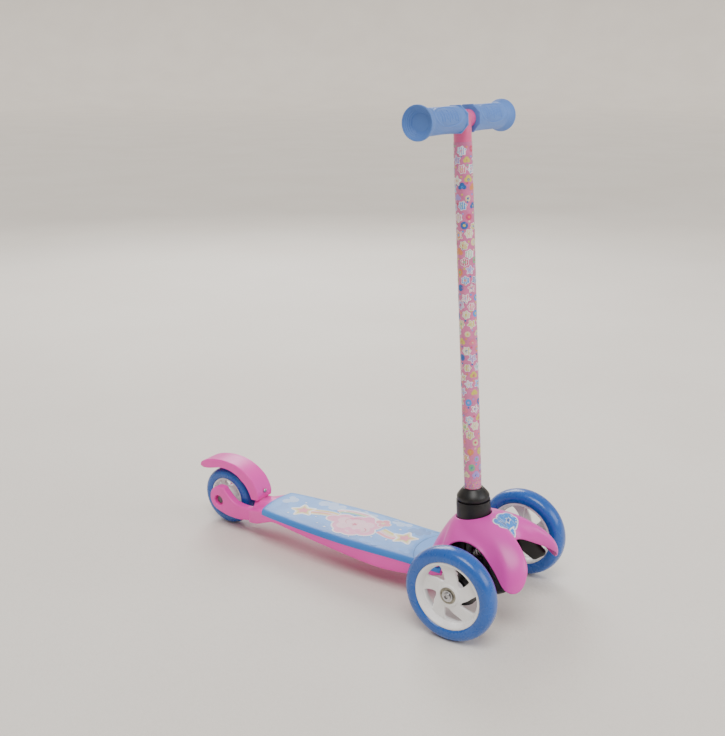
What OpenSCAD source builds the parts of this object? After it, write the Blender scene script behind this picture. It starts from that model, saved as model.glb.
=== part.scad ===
// Child's three-wheel scooter that steers by leaning.
// Two front wheels hang on a truck that pivots under the steering frame, and one braked wheel
// runs in a fork moulded into the deck. The scooter faces -Y, +Z is up, +X is the rider's left,
// and the origin is on the ground under the middle of the whole scooter.

/* [Wheels] */
// Diameter of a front wheel
front_wheel_d = 125; // [122:0.5:128]
// Width of a front tyre
front_tyre_w = 26.8; // [24:0.2:28]
// Diameter of the white front rim where the tyre starts
front_rim_d = 90.2; // [86:0.2:94]
// Diameter of the rear wheel
rear_wheel_d = 90; // [88:0.5:91]
// Width of the rear tyre
rear_tyre_w = 24; // [22:0.5:25]
// Diameter of the white rear rim where the tyre starts
rear_rim_d = 59; // [54:0.5:62]
// Distance between the middles of the two front tyres
track = 209.1; // [206:0.1:214]
// Distance from the front axle to the rear axle
wheelbase = 452.5; // [450:0.5:455]

/* [Deck] */
// Height of the deck's flat top
deck_top = 58; // [56:0.5:59]
// Thickness of the moulded walls
wall = 3; // [2.5:0.1:3.5]

/* [Handlebar] */
// Height of the handlebar's axis
bar_z = 631.2; // [560:0.1:680]
// Rearward lean of the stem from vertical
stem_lean = 3.84; // [3:0.02:5]
// Outer diameter of the stem and handlebar tubes, seven eighths of an inch
tube_d = 22.2; // [22.2:0.1:22.2]
// Wall thickness of the steel tubes
tube_wall = 1.5; // [1:0.1:2]
// Distance between the outer ends of the grips
bar_w = 210.9; // [190:0.1:240]
// Diameter of a grip's end flange
grip_flange_d = 40.7; // [36:0.1:44]

/* [Lean steering] */
// Height of the pivot that the front truck leans about
lean_z = 66; // [65:0.5:67]
// Distance from the lean pivot down to the tie rod's drive pin
drive_drop = 19; // [18:0.5:20]
// Length of a steering arm from its kingpin to the tie rod
arm_len = 22; // [21:0.5:23]
// Distance from the middle to a kingpin
kingpin_x = 68; // [67:0.5:69]

/* [Hidden] */
$fn = 64;
eps = 0.01;
m8_r = 4;
running = 0.05;
axle_z = front_wheel_d / 2;
rear_axle_z = rear_wheel_d / 2;
drive_z = lean_z - drive_drop;
half_track = track / 2;
tube_r = tube_d / 2;

// How far the scooter reaches ahead of the front axle and behind it
front_reach = 76;
rear_reach = 502;
front_axle_y = -(rear_reach - front_reach) / 2;

// The stem's axis: where it meets the ground plane, and the points along it
stem_foot_y = 17.1;
stem_top = bar_z / cos(stem_lean);
collar_seam = 145.5 / cos(stem_lean);
collar_top = collar_seam + 16.2;
head_r = 22.5;

pink = "orchid";
blue = "cornflowerblue";
black = [0.12, 0.12, 0.13];
steel = "silver";

// ---------------------------------------------------------------- placing

// Everything is drawn from the front axle's middle, then moved so the origin is central.
module at_axle() {
    translate([0, front_axle_y, 0]) children();
}

// Children drawn along +Z follow the stem's leaning axis, starting at the ground plane.
module on_stem() {
    at_axle() translate([0, stem_foot_y, 0]) rotate([-stem_lean, 0, 0]) children();
}

// Children drawn along +Z point to the rider's left when side is 1, to the right when it is -1.
// The two sides are mirror images.
module wheel_side(side) {
    at_axle() mirror([side > 0 ? 1 : 0, 0, 0]) translate([-half_track, 0, axle_z])
        rotate([0, -90, 0]) children();
}

module at_rear_axle() {
    at_axle() translate([0, wheelbase, rear_axle_z]) rotate([0, 90, 0]) children();
}

module both_sides() {
    children();
    mirror([1, 0, 0]) children();
}

module rod_x(r, x0, x1) {
    translate([x0, 0, 0]) rotate([0, 90, 0]) cylinder(r = r, h = x1 - x0);
}

module rod_y(r, y0, y1) {
    translate([0, y1, 0]) rotate([90, 0, 0]) cylinder(r = r, h = y1 - y0);
}

module block(low, high) {
    translate(low) cube(high - low);
}

module tube(r_out, r_in, h) {
    difference() {
        cylinder(r = r_out, h = h);
        translate([0, 0, -1]) cylinder(r = r_in, h = h + 2);
    }
}

// ---------------------------------------------------------------- curves and shells

// Smooth curve through a list of points, at a position t counted in points.
function spline_at(p, t) =
    let (i = min(floor(t), len(p) - 2), u = t - i,
         a = p[max(i - 1, 0)], b = p[i], c = p[i + 1], d = p[min(i + 2, len(p) - 1)])
    0.5 * (2 * b + (c - a) * u + (2 * a - 5 * b + 4 * c - d) * u * u
        + (3 * b - a - 3 * c + d) * u * u * u);

// The value at x of a smooth curve through [x, value] pairs.
function curve(pairs, x, i = 0) =
    (i >= len(pairs) - 2 || x < pairs[i + 1][0])
    ? spline_at([for (q = pairs) q[1]],
                i + max(0, min(1, (x - pairs[i][0]) / (pairs[i + 1][0] - pairs[i][0]))))
    : curve(pairs, x, i + 1);

function bezier(p0, p1, p2, p3, t) =
    pow(1 - t, 3) * p0 + 3 * t * pow(1 - t, 2) * p1 + 3 * t * t * (1 - t) * p2 + pow(t, 3) * p3;

function unit(v) = v / norm(v);

// The grid's surface normal at row i, column j; columns wrap round when loop is true.
function grid_normal(g, i, j, loop) =
    let (n = len(g[0]), m = len(g),
         j0 = loop ? (j + n - 1) % n : max(j - 1, 0), j1 = loop ? (j + 1) % n : min(j + 1, n - 1))
    unit(cross(g[min(i + 1, m - 1)][j] - g[max(i - 1, 0)][j], g[i][j1] - g[i][j0]));

function offset_grid(g, depth, loop) =
    [for (i = [0 : len(g) - 1]) [for (j = [0 : len(g[0]) - 1])
        g[i][j] - depth * grid_normal(g, i, j, loop)]];

// Closed shell between an outer grid and the inner grid that matches it point for point.
module shell(outer, inner, loop) {
    m = len(outer);
    n = len(outer[0]);
    wrap = loop ? n : n - 1;
    points = concat([for (r = outer) for (p = r) p], [for (r = inner) for (p = r) p]);
    function o(i, j) = i * n + j % n;
    function q(i, j) = m * n + o(i, j);
    skin = [for (i = [0 : m - 2]) for (j = [0 : wrap - 1]) each [
        [o(i, j), o(i, j + 1), o(i + 1, j + 1)], [o(i, j), o(i + 1, j + 1), o(i + 1, j)],
        [q(i, j), q(i + 1, j + 1), q(i, j + 1)], [q(i, j), q(i + 1, j), q(i + 1, j + 1)]]];
    ends = [for (j = [0 : wrap - 1]) each [
        [o(0, j), q(0, j), q(0, j + 1)], [o(0, j), q(0, j + 1), o(0, j + 1)],
        [o(m - 1, j), q(m - 1, j + 1), q(m - 1, j)],
        [o(m - 1, j), o(m - 1, j + 1), q(m - 1, j + 1)]]];
    sides = loop ? [] : [for (i = [0 : m - 2]) each [
        [o(i, 0), o(i + 1, 0), q(i + 1, 0)], [o(i, 0), q(i + 1, 0), q(i, 0)],
        [o(i, n - 1), q(i, n - 1), q(i + 1, n - 1)],
        [o(i, n - 1), q(i + 1, n - 1), o(i + 1, n - 1)]]];
    polyhedron(points = points, faces = concat(skin, ends, sides));
}

// ---------------------------------------------------------------- deck

deck_front = 46;
plate_front = 48;
plate_t = 2.6;
seam_y = 50;
base_rear = 392;
under = deck_top - plate_t;
tail_z = 46.5;
rib_low = 45;
wall_in = wall + 1;
pad_x = 41.9;
// Where the plate's side edges end, just ahead of the shoulders
plate_side_end = 357;
// The slab under the plate in layers: top of the layer and how far it is set in
slab_steps = [[52.8, 3.2], [54.4, 4.5], [under, 7.3]];
fork_out = 29.4;
fork_in = 17.4;
fork_boss = [449, 48.5];
fork_boss_r = 20.5;
// Thickness left at the bottom of the recess for the rear axle's head and nut
axle_wall = 3;
// Half-width of the deck along its length
deck_half = [[46, 49], [80, 48.5], [120, 49], [165, 51], [205, 52], [250, 50.5], [295, 47.5],
    [335, 43.5], [355, 40.5], [372, 35.5], [392, 30]];
// Height of the side walls' lower edge along the deck
skirt_z = [[46, 47], [60, 43], [80, 38], [105, 33], [135, 30.5], [165, 32], [205, 36], [250, 39.5],
    [295, 43], [335, 44.5], [355, 37], [372, 29], [392, 24]];
stations = 40;
function deck_y(k) = deck_front + k * (base_rear - deck_front) / stations;

// Plan of the deck, drawn in its walls' own thickness when inset
module deck_plan(inset) {
    half = [for (k = [0 : stations])
        [curve(deck_half, deck_y(k)) - inset, max(deck_y(k), deck_front + inset)]];
    polygon(concat(half, [for (k = [stations : -1 : 0]) [-half[k][0], half[k][1]]]));
}

// Side view of the deck between its lower edge and a given height, as [y, z]
module deck_side(top) {
    polygon(concat([for (k = [0 : stations]) [deck_y(k), curve(skirt_z, deck_y(k))]],
        [[base_rear, top], [deck_front, top]]));
}

// Solid that fills the deck's outline up to a given height
module deck_solid(inset, top) {
    intersection() {
        linear_extrude(top) deck_plan(inset);
        rotate([90, 0, 90]) translate([0, 0, -60]) linear_extrude(120) deck_side(top);
    }
}

// Shoulders behind the plate, where the deck slopes down to the fork arms
module shoulders() {
    both_sides() rotate([90, 0, 90]) translate([0, 0, fork_in]) linear_extrude(40)
        polygon([[plate_side_end, under], [base_rear + 1, tail_z], [base_rear + 1, under + 5],
            [plate_side_end, under + 5]]);
}

module deck_base() {
    color(pink) at_axle() difference() {
        union() {
            // slab under the blue plate, stepped in to clear the plate's rounded corners
            difference() {
                for (s = slab_steps) intersection() {
                    translate([0, 0, seam_y]) linear_extrude(s[0] - seam_y) deck_plan(s[1]);
                    block([-60, deck_front, seam_y - 1], [60, plate_side_end, under]);
                }
                translate([0, 0, seam_y - 1]) linear_extrude(under - wall - seam_y + 1)
                    deck_plan(slab_steps[0][1] + wall);
            }
            // ribs along and across the underside
            for (x = [-22, 22])
                block([x - 1.2, deck_front + 4, rib_low], [x + 1.2, plate_side_end, under - 1]);
            for (y = [96 : 32 : 340])
                block([-curve(deck_half, y) + wall_in, y - 1.2, rib_low + 1],
                    [curve(deck_half, y) - wall_in, y + 1.2, under - 1]);
            // front pad that the steering frame is screwed to
            block([-pad_x, deck_front + 1, 47], [pad_x, deck_front + 22, under]);
            // tail that carries the brake and the fork arms
            intersection() {
                translate([0, 0, tail_z]) linear_extrude(under - tail_z) deck_plan(0);
                block([-60, plate_side_end, 0], [60, base_rear, under]);
            }
            // closed end of the deck between the arms
            block([-fork_in + eps, base_rear - 6, 27], [fork_in - eps, base_rear - 1, under - 1]);
        }
        shoulders();
        // room for the plate's rear corners
        both_sides() translate([0, 0, seam_y]) linear_extrude(10) polygon(concat(
            [[pad_x + 2, plate_side_end - 1], [32, plate_side_end - 1]],
            [for (x = [32 : 3 : 41]) [x, arc_end(plate_rear, plate_sag, x) + 0.2]]));
        for (x = frame_screw_x) for (y = frame_screw_y)
            translate([x, y, 40]) cylinder(r = 1.7, h = 20);
    }
    color(pink) at_axle() both_sides() brake_lug();
}

// The deck's two side walls, below the slab
module deck_walls() {
    color(pink) at_axle() difference() {
        deck_solid(0, seam_y);
        translate([0, 0, -1]) linear_extrude(60) deck_plan(wall_in);
        block([-pad_x, deck_front - 1, 0], [pad_x, deck_front + wall_in + 1, 60]);
        block([-fork_in - 9, base_rear - 8, 0], [fork_in + 9, base_rear + 1, 60]);
        block([-60, plate_side_end, tail_z], [60, base_rear + 1, 60]);
    }
}

// Side view of a fork arm, drawn as [y, z]
module fork_outline() {
    difference() {
        polygon([[350, tail_z], [407, 46.5], [418, 48.3], [426, 52], [434, 59.6], [440, 66],
            [449, 66], [460, 31], [447, 26.5], [433, 23.7], [414, 23.1], [400, 25.3], [386, 27.8],
            [372, 31.5], [350, 37]]);
        translate(fork_boss) circle(r = fork_boss_r - 1);
    }
    translate(fork_boss) circle(r = fork_boss_r);
}

// One arm is narrower where it runs inside the deck's walls.
module fork_arm() {
    difference() {
        intersection() {
            rotate([90, 0, 90]) translate([0, 0, fork_in])
                linear_extrude(fork_out - fork_in) fork_outline();
            union() {
                block([0, plate_side_end, 0], [fork_in + 9, 480, 80]);
                block([0, base_rear, 0], [60, 480, 80]);
            }
        }
        translate([0, wheelbase, rear_axle_z]) {
            rod_x(m8_r + running, fork_in - 1, fork_out + 1);
            rod_x(8, fork_in + axle_wall, fork_out + 1);
        }
    }
}

module rear_fork() {
    color(pink) at_axle() both_sides() fork_arm();
}

// Lug on the deck that carries one end of the brake's hinge pin
module brake_lug() {
    difference() {
        union() {
            translate([0, brake_y, brake_z]) rod_x(lug_r, 8, 12);
            block([8, brake_y - 3.5, under - 1], [12, base_rear - 0.2, brake_z]);
        }
        translate([0, brake_y, brake_z]) rod_x(brake_pin_r + running, 7, 14);
    }
}

// Blue top of the deck. Its rear end is a shallow arc across the deck.
plate_corner = 7;
plate_rear = 364;
plate_sag = 7.8;
print_front = 107;
function arc_end(y, sag, x) = y - sag * pow(x / 42, 2);
function plate_end_y(x, back) = back ? arc_end(plate_rear, plate_sag, x) : plate_front;

function mirrored(half) =
    concat(half, [for (k = [len(half) - 2 : -1 : 0]) [-half[k][0], half[k][1], half[k][2]]]);

function plate_section(s, inset) =
    let (w = curve(deck_half, plate_front + s * (plate_side_end - plate_front)) - inset,
         c = plate_corner - inset, top = deck_top - inset,
         ring = concat([[w, seam_y], [w, (seam_y + top - c) / 2]],
             [for (a = [0 : 18 : 90]) [w - c + c * cos(a), top - c + c * sin(a)]],
             [[w * 0.55, top], [w * 0.25, top], [0, top]]))
    mirrored([for (p = ring)
        [p[0], plate_end_y(p[0], false) + s * (plate_end_y(p[0], true) - plate_end_y(p[0], false)),
            p[1]]]);

module deck_plate() {
    rows = [for (s = [0 : 1 / 20 : 1 + eps]) plate_section(min(s, 1), 0)];
    under = [for (s = [0 : 1 / 20 : 1 + eps]) plate_section(min(s, 1), plate_t)];
    color("skyblue") at_axle() difference() {
        shell(rows, under, false);
        // notch round the steering frame's foot
        block([-35, plate_front - 1, seam_y], [35, 66, deck_top + 1]);
    }
}

// Printed anti-slip panel on the flat part of the plate
module deck_print() {
    w_front = curve(deck_half, 98) - plate_corner;
    w_rear = curve(deck_half, 356) - plate_corner;
    front = [for (k = [-6 : 6]) let (x = k / 6 * w_front) [x, arc_end(print_front, 15, x)]];
    rear = [for (k = [6 : -1 : -6]) let (x = k / 6 * w_rear) [x, arc_end(plate_rear - 1, plate_sag, x)]];
    right = [for (y = [120 : 20 : 340]) [curve(deck_half, y) - plate_corner, y]];
    left = [for (k = [len(right) - 1 : -1 : 0]) [-right[k][0], right[k][1]]];
    color("skyblue") at_axle() translate([0, 0, deck_top]) linear_extrude(print_t)
        polygon(concat(front, right, rear, left));
}
print_t = 0.4;

// ---------------------------------------------------------------- front cover

cover_t = 3;
cover_hole_r = 23.6;
cover_hole_y = 25.5;
cover_foot = deck_top + 0.2;
// Each row is one rib of the cover, from the front round to the back on the rider's left side:
// angle round the collar, lower end, pull at the collar, pull at the lower end.
cover_ribs = [
    [0, [0, -38.6, 103], [0, -14, 0], [0, 6, 12]],
    [14, [24, -56, 91.5], [3, -24, 2], [-4, -3, 18]],
    [28, [46, -73.5, 75.5], [7, -35, 3], [-9, -8, 30]],
    [40, [60.5, -69.5, 62.5], [9, -37, 2], [-11, -14, 42]],
    [52, [68, -55, 66], [14, -30, 0], [-8, -10, 36]],
    [66, [61, -35, 85], [16, -20, -3], [-8, -4, 20]],
    [82, [53, -11, 103], [14, -8, -6], [-8, 0, 6]],
    [100, [49, 12, 107], [11, -2, -8], [-8, 2, 4]],
    [116, [49, 33, 98], [12, 2, -8], [-5, 0, 8]],
    [130, [50, 46, 74], [12, 6, -8], [-2, -1, 16]],
    [142, [49.5, 53, cover_foot], [11, 9, -8], [-3, -4, 20]],
    [154, [38, 70, cover_foot], [7, 11, -9], [-4, -6, 18]],
    [167, [19, 81, cover_foot], [3, 12, -10], [-2, -6, 16]],
    [180, [0, 84, cover_foot], [0, 12, -10], [0, -6, 16]]
];

function cover_rib(t, steps) =
    let (a = spline_at([for (r = cover_ribs) r[0]], t), e = spline_at([for (r = cover_ribs) r[1]], t),
         h0 = spline_at([for (r = cover_ribs) r[2]], t),
         h1 = spline_at([for (r = cover_ribs) r[3]], t),
         rim = [cover_hole_r * sin(a), cover_hole_y - cover_hole_r * cos(a), 124.5 + 5 * cos(a)])
    [for (i = [0 : steps]) bezier(rim, rim + h0, e + h1, e, i / steps)];

function flip_x(rib) = [for (p = rib) [-p[0], p[1], p[2]]];

// One row per rib, all the way round
function cover_grid(per_rib, steps) =
    let (n = (len(cover_ribs) - 1) * per_rib, half = [for (k = [0 : n]) cover_rib(k / per_rib, steps)])
    concat(half, [for (k = [n - 1 : -1 : 1]) flip_x(half[k])]);

function transposed(g) = [for (j = [0 : len(g[0]) - 1]) [for (i = [0 : len(g) - 1]) g[i][j]]];

function above(g, low) = [for (row = g) [for (p = row) [p[0], p[1], max(p[2], low)]]];

module front_cover() {
    outer = above(transposed(cover_grid(3, 10)), cover_foot);
    inner = above(offset_grid(outer, cover_t, true), cover_foot);
    color(pink) at_axle() {
        shell(outer, inner, true);
        // screw posts down to the steering frame
        both_sides() translate([post_x, post_y, frame_top]) tube(4.5, 1.6, 14.5);
    }
}

// ---------------------------------------------------------------- steering frame

frame_top = 106.5;
ear_front = [-27, -20];
ear_rear = [31, 38];
stop_x = 42;
stop_y = [-19, 11];
spring_y = -5;
spring_z = 88;
post_x = 26;
post_y = -8;
frame_screw_x = [-25, 25];
frame_screw_y = [50, 60];
// Balls that each horn is stretched over
horn = [[45.5, -17, 98.5], [53, -33, 80], [50, -25, 68], [56, -40, 56], [59, -49, 63]];
horn_r = [4, 6, 5, 5, 5.5];

// Upright ear with a round end, which holds one end of the lean pivot bolt
module ear(span, low) {
    translate([0, 0, lean_z]) rod_y(13, span[0], span[1]);
    block([-13, span[0], low], [13, span[1], frame_top - 3]);
}

module steering_frame() {
    color(black) {
        difference() {
            union() {
                on_stem() {
                    translate([0, 0, 125]) cylinder(r = head_r, h = collar_seam - 1 - 125);
                    translate([0, 0, 112]) cylinder(r = 19.5, h = collar_seam - 112);
                    translate([0, 0, 92]) cylinder(r = 17, h = 21);
                }
                at_axle() {
                    ear(ear_front, lean_z);
                    ear(ear_rear, drive_z - 6);
                    block([-36, -18, frame_top - 5], [36, 10, frame_top]);
                    block([-15, ear_front[0], frame_top - 5], [15, ear_rear[1], frame_top]);
                    both_sides() {
                        block([36 - eps, -17, frame_top - 5], [stop_x + 4, 9, frame_top - 2.5]);
                        block([stop_x, stop_y[0], 77], [stop_x + 4, stop_y[1], frame_top - 3]);
                    }
                    // foot on the deck, with gussets
                    block([-34, ear_rear[0], deck_top - plate_t], [34, 65, deck_top + 3]);
                    for (x = [-14, 10])
                        block([x, ear_rear[1] - eps, deck_top], [x + 4, 52, 96]);
                    // horns that back up the two front lobes of the cover
                    both_sides() {
                        hull() for (h = [0 : 2])
                            translate(horn[h]) sphere(r = horn_r[h], $fn = 24);
                        hull() for (h = [1 : 4])
                            translate(horn[h]) sphere(r = horn_r[h], $fn = 24);
                    }
                }
            }
            on_stem() translate([0, 0, 97]) cylinder(r = tube_r + running, h = 80);
            at_axle() {
                translate([0, 0, lean_z]) rod_y(m8_r + running, -40, 60);
                translate([0, 0, drive_z]) rod_y(3, 25, 45);
                // room for the pivot's nut, and windows where the centring springs bear
                translate([0, 0, lean_z]) rod_y(9.2, ear_rear[1], 50);
                both_sides() block([stop_x - 1, stop_y[0] + 5, spring_z + 1],
                    [stop_x + 5, stop_y[1] - 6, frame_top - 6]);
                for (x = frame_screw_x) for (y = frame_screw_y)
                    translate([x, y, 50]) cylinder(r = 2.2, h = 20);
                both_sides() translate([post_x, post_y, 95]) cylinder(r = 2, h = 20);
            }
            // window for the snap button at the back of the socket
            on_stem() translate([0, tube_r - 1, button_s]) rotate([-90, 0, 0])
                cylinder(r = 4.2, h = 30);
        }
    }
}

button_s = 132;

// Radius and height above the seam, from the foot of the ring up over its cone
collar_profile = [[21, 0], [21.5, 1], [21.6, 7.5], [21, 9], [18.5, 11.5], [15.5, 13], [13.8, 14.1],
    [13.3, 15.1], [13.3, 16]];
module collar_ring() {
    in_r = tube_r + running;
    color(black) on_stem() translate([0, 0, collar_seam]) rotate_extrude()
        polygon(concat([[in_r, 0]], collar_profile, [[in_r, collar_top - collar_seam]]));
}

module stem_tube() {
    color(pink) on_stem() difference() {
        translate([0, 0, 98]) cylinder(r = tube_r, h = stem_top - 98);
        translate([0, 0, 97]) cylinder(r = tube_r - tube_wall, h = stem_top);
        translate([0, 0, stem_top]) rod_x(tube_r, -30, 30);
        translate([0, tube_r - 4, button_s]) rotate([-90, 0, 0]) cylinder(r = 3.6, h = 10);
    }
}

module printed_sleeve() {
    color("hotpink") on_stem() translate([0, 0, collar_top + 0.2])
        tube(tube_r + 0.25, tube_r, stem_top - 27 - collar_top);
}

module handlebar_tube() {
    color(pink) on_stem() translate([0, 0, stem_top]) difference() {
        rod_x(tube_r, -bar_w / 2 + 12, bar_w / 2 - 12);
        rod_x(tube_r - tube_wall, -bar_w, bar_w);
    }
}

// Grip drawn from its outer end at z = 0 inward
grip_len = bar_w / 2 - 14;
grip_r = 15.6;
module grip() {
    difference() {
        union() {
            rotate_extrude() polygon(concat(
                [[0, 0], [grip_flange_d / 2 - 1, 0], [grip_flange_d / 2, 1.2], [grip_flange_d / 2, 4]],
                [for (a = [0 : 15 : 90])
                    [grip_r + (grip_flange_d / 2 - grip_r) * (1 - sin(a)), 6 + 10 * (1 - cos(a))]],
                [[grip_r - 0.4, grip_len - 3], [0, grip_len - 3]]));
            translate([0, 0, grip_len - 3]) rotate(22.5) cylinder(r = 18, h = 3, $fn = 8);
        }
        // cup with stepped rings, then the bore for the handlebar
        translate([0, 0, -eps]) cylinder(r1 = grip_flange_d / 2 - 3, r2 = 11.5, h = 9);
        translate([0, 0, 12]) cylinder(r = tube_r, h = grip_len);
    }
}

module left_grip() {
    color(blue) on_stem() translate([bar_w / 2, 0, stem_top]) rotate([0, -90, 0]) grip();
}

module right_grip() {
    color(blue) on_stem() translate([-bar_w / 2, 0, stem_top]) rotate([0, 90, 0]) grip();
}

module snap_button() {
    color(steel) on_stem() translate([0, 0, button_s]) rotate([-90, 0, 0]) {
        translate([0, 0, 3]) cylinder(r = 3.5, h = 21);
        translate([0, 0, 3]) cylinder(r = 5, h = 3);
    }
}

module snap_button_spring() {
    color(steel) on_stem() translate([0, 0, button_s]) rotate([-90, 0, 0])
        for (i = [0 : 4]) translate([0, 0, -8.8 + i * 2.35]) tube(3.4, 2.5, 0.9);
}

// ---------------------------------------------------------------- lean pivot

module lean_pivot_bolt() {
    color(steel) at_axle() translate([0, 0, lean_z]) {
        rod_y(m8_r, -32, 47);
        translate([0, -27, 0]) rotate([90, 0, 0]) cylinder(r = 7.5, h = 5, $fn = 6);
        rod_y(8.5, -28.6, -27);
    }
}

module lean_pivot_nut() {
    color(steel) at_axle() translate([0, 0, lean_z]) difference() {
        union() {
            translate([0, 46, 0]) rotate([90, 0, 0]) cylinder(r = 7.5, h = 6.4, $fn = 6);
            rod_y(8.5, 38, 39.6);
        }
        rod_y(m8_r, 30, 60);
    }
}

module drive_pin() {
    color(steel) at_axle() translate([0, 0, drive_z]) {
        rod_y(3, 14.5, 38);
        rod_y(4.4, 13, 15);
    }
}

// Pair of short coil springs that push the truck back to level
spring_r = 10.5;
spring_wire = 1.1;
module centring_springs() {
    turns = 5;
    color(steel) at_axle() both_sides() for (i = [0 : turns])
        translate([10.5 + i * (stop_x - 12.5) / turns, spring_y, spring_z]) rotate([0, 90, 0])
            rotate_extrude() translate([spring_r - spring_wire, 0]) circle(r = spring_wire, $fn = 16);
}

module screw(r, length) {
    cylinder(r = r, h = length);
    translate([0, 0, -2.4]) cylinder(r = r * 2, h = 2.4);
}

module cover_screws() {
    color(steel) at_axle() both_sides() translate([post_x, post_y, frame_top - 5]) screw(1.6, 14);
}

module frame_screws() {
    color(steel) at_axle() for (x = frame_screw_x) for (y = frame_screw_y)
        translate([x, y, deck_top + 3]) mirror([0, 0, 1]) screw(1.7, 11);
}

// ---------------------------------------------------------------- front truck

fork_x = [52, 58];
clevis_x = 80;
clevis_low = [35, 42.5];
clevis_high = [78.5, 85];
kingpin_r = 4;

module front_truck() {
    color(black) at_axle() difference() {
        union() {
            translate([0, 0, lean_z]) rod_y(13, -19, 30);
            // post between the two centring springs
            block([-9, -14, lean_z], [9, 4, 99]);
            both_sides() {
                block([0, -12, 52], [fork_x[0] + eps, 12, 66]);
                block([fork_x[0], -13, clevis_low[0]], [fork_x[1], 13, clevis_high[1]]);
                for (z = [clevis_low, clevis_high]) {
                    block([fork_x[1] - eps, -13, z[0]], [kingpin_x, 13, z[1]]);
                    translate([kingpin_x, 0, z[0]]) cylinder(r = 13, h = z[1] - z[0]);
                }
            }
        }
        translate([0, 0, lean_z]) rod_y(6, -30, 40);
        both_sides() translate([kingpin_x, 0, 20]) cylinder(r = kingpin_r, h = 90);
    }
}

module lean_bushes() {
    color("tan") at_axle() translate([0, 0, lean_z]) {
        for (y = [[-19, -4], [15, 30]]) difference() {
            rod_y(6, y[0], y[1]);
            rod_y(m8_r + running, y[0] - 1, y[1] + 1);
        }
        for (y = [[-19.9, -19], [30, 30.9]]) difference() {
            rod_y(9, y[0], y[1]);
            rod_y(m8_r + running, y[0] - 1, y[1] + 1);
        }
    }
}

module kingpins() {
    color(steel) at_axle() both_sides() translate([kingpin_x, 0, 0]) {
        translate([0, 0, 32]) cylinder(r = kingpin_r, h = 56);
        translate([0, 0, clevis_high[1]]) cylinder(r = 7, h = 3.5);
        translate([0, 0, clevis_low[0] - 3.5]) cylinder(r = 6, h = 3.5);
    }
}

rod_end_z = [44, 50.5];
module tie_rod() {
    color(black) at_axle() difference() {
        union() {
            block([-kingpin_x - 4, arm_len - 4, rod_end_z[0]], [kingpin_x + 4, arm_len + 4, rod_end_z[1]]);
            block([-9, arm_len - 4, drive_z - 6], [9, arm_len + 4, drive_z + 5.3]);
            both_sides() translate([kingpin_x, arm_len, rod_end_z[0]])
                cylinder(r = 7, h = rod_end_z[1] - rod_end_z[0]);
        }
        // slots that let each pin follow its own arc
        block([-3.3, 0, drive_z - 3.3], [3.3, 40, drive_z + 3.7]);
        both_sides() for (dy = [-0.5, 0.2]) translate([kingpin_x, arm_len + dy, 30])
            cylinder(r = 3.3, h = 40);
    }
}

// Knuckle for the rider's left side
module knuckle() {
    difference() {
        union() {
            translate([kingpin_x, 0, 43]) cylinder(r = 9.5, h = 35);
            translate([0, 0, axle_z]) rod_x(9, kingpin_x, 84);
            translate([0, 0, axle_z]) rod_x(7, 84, 88);
            block([kingpin_x - 5, 0, 51.5], [kingpin_x + 5, arm_len, 57.5]);
            translate([kingpin_x, arm_len, 51.5]) cylinder(r = 5, h = 6);
            translate([kingpin_x, arm_len, 42.5]) cylinder(r = 3, h = 10);
        }
        translate([kingpin_x, 0, 30]) cylinder(r = kingpin_r + running, h = 60);
        translate([0, 0, axle_z]) rod_x(m8_r, kingpin_x + 5.5, 100);
    }
}

module left_knuckle() { color(black) at_axle() knuckle(); }
module right_knuckle() { color(black) at_axle() mirror([1, 0, 0]) knuckle(); }

// Axle bolt for a front wheel, drawn along +Z from the tyre's middle plane outward
module axle_bolt() {
    difference() {
        union() {
            translate([0, 0, kingpin_x + 5.5 - half_track])
                cylinder(r = m8_r, h = half_track - kingpin_x - 5.5 + 9.5);
            translate([0, 0, 8.6]) cylinder(r = 7, h = 1.4);
            translate([0, 0, 9.9]) cylinder(r = 5.2, h = 3.4);
        }
        translate([0, 0, 10.8]) rotate(30) cylinder(r = 2.6, h = 5, $fn = 6);
    }
}

module left_axle_bolt() { color(steel) wheel_side(1) axle_bolt(); }
module right_axle_bolt() { color(steel) wheel_side(-1) axle_bolt(); }

module axle_spacers() {
    translate([0, 0, 88 - half_track]) tube(6, m8_r + running, half_track - 88 - 11.4);
    translate([0, 0, -3.9]) tube(5.6, m8_r + running, 5);
}

module left_axle_spacers() { color(steel) wheel_side(1) axle_spacers(); }
module right_axle_spacers() { color(steel) wheel_side(-1) axle_spacers(); }

// ---------------------------------------------------------------- wheels

// Tyre round a rim: the tread is a rounded crown between two rim edges
module tyre(r_out, r_in, w) {
    seat = 3;
    rotate_extrude($fn = 96) polygon(concat(
        [[r_in - seat, -w * 0.3], [r_in - seat, w * 0.3], [r_in, w * 0.34]],
        [for (a = [160 : -10 : 20])
            [r_in + 1.5 + (r_out - r_in - 1.5) * pow(sin(a), 0.62), -w / 2 * cos(a) / cos(20)]],
        [[r_in, -w * 0.34]]));
}

function polar(r, a) = [r * cos(a), r * sin(a)];

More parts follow.
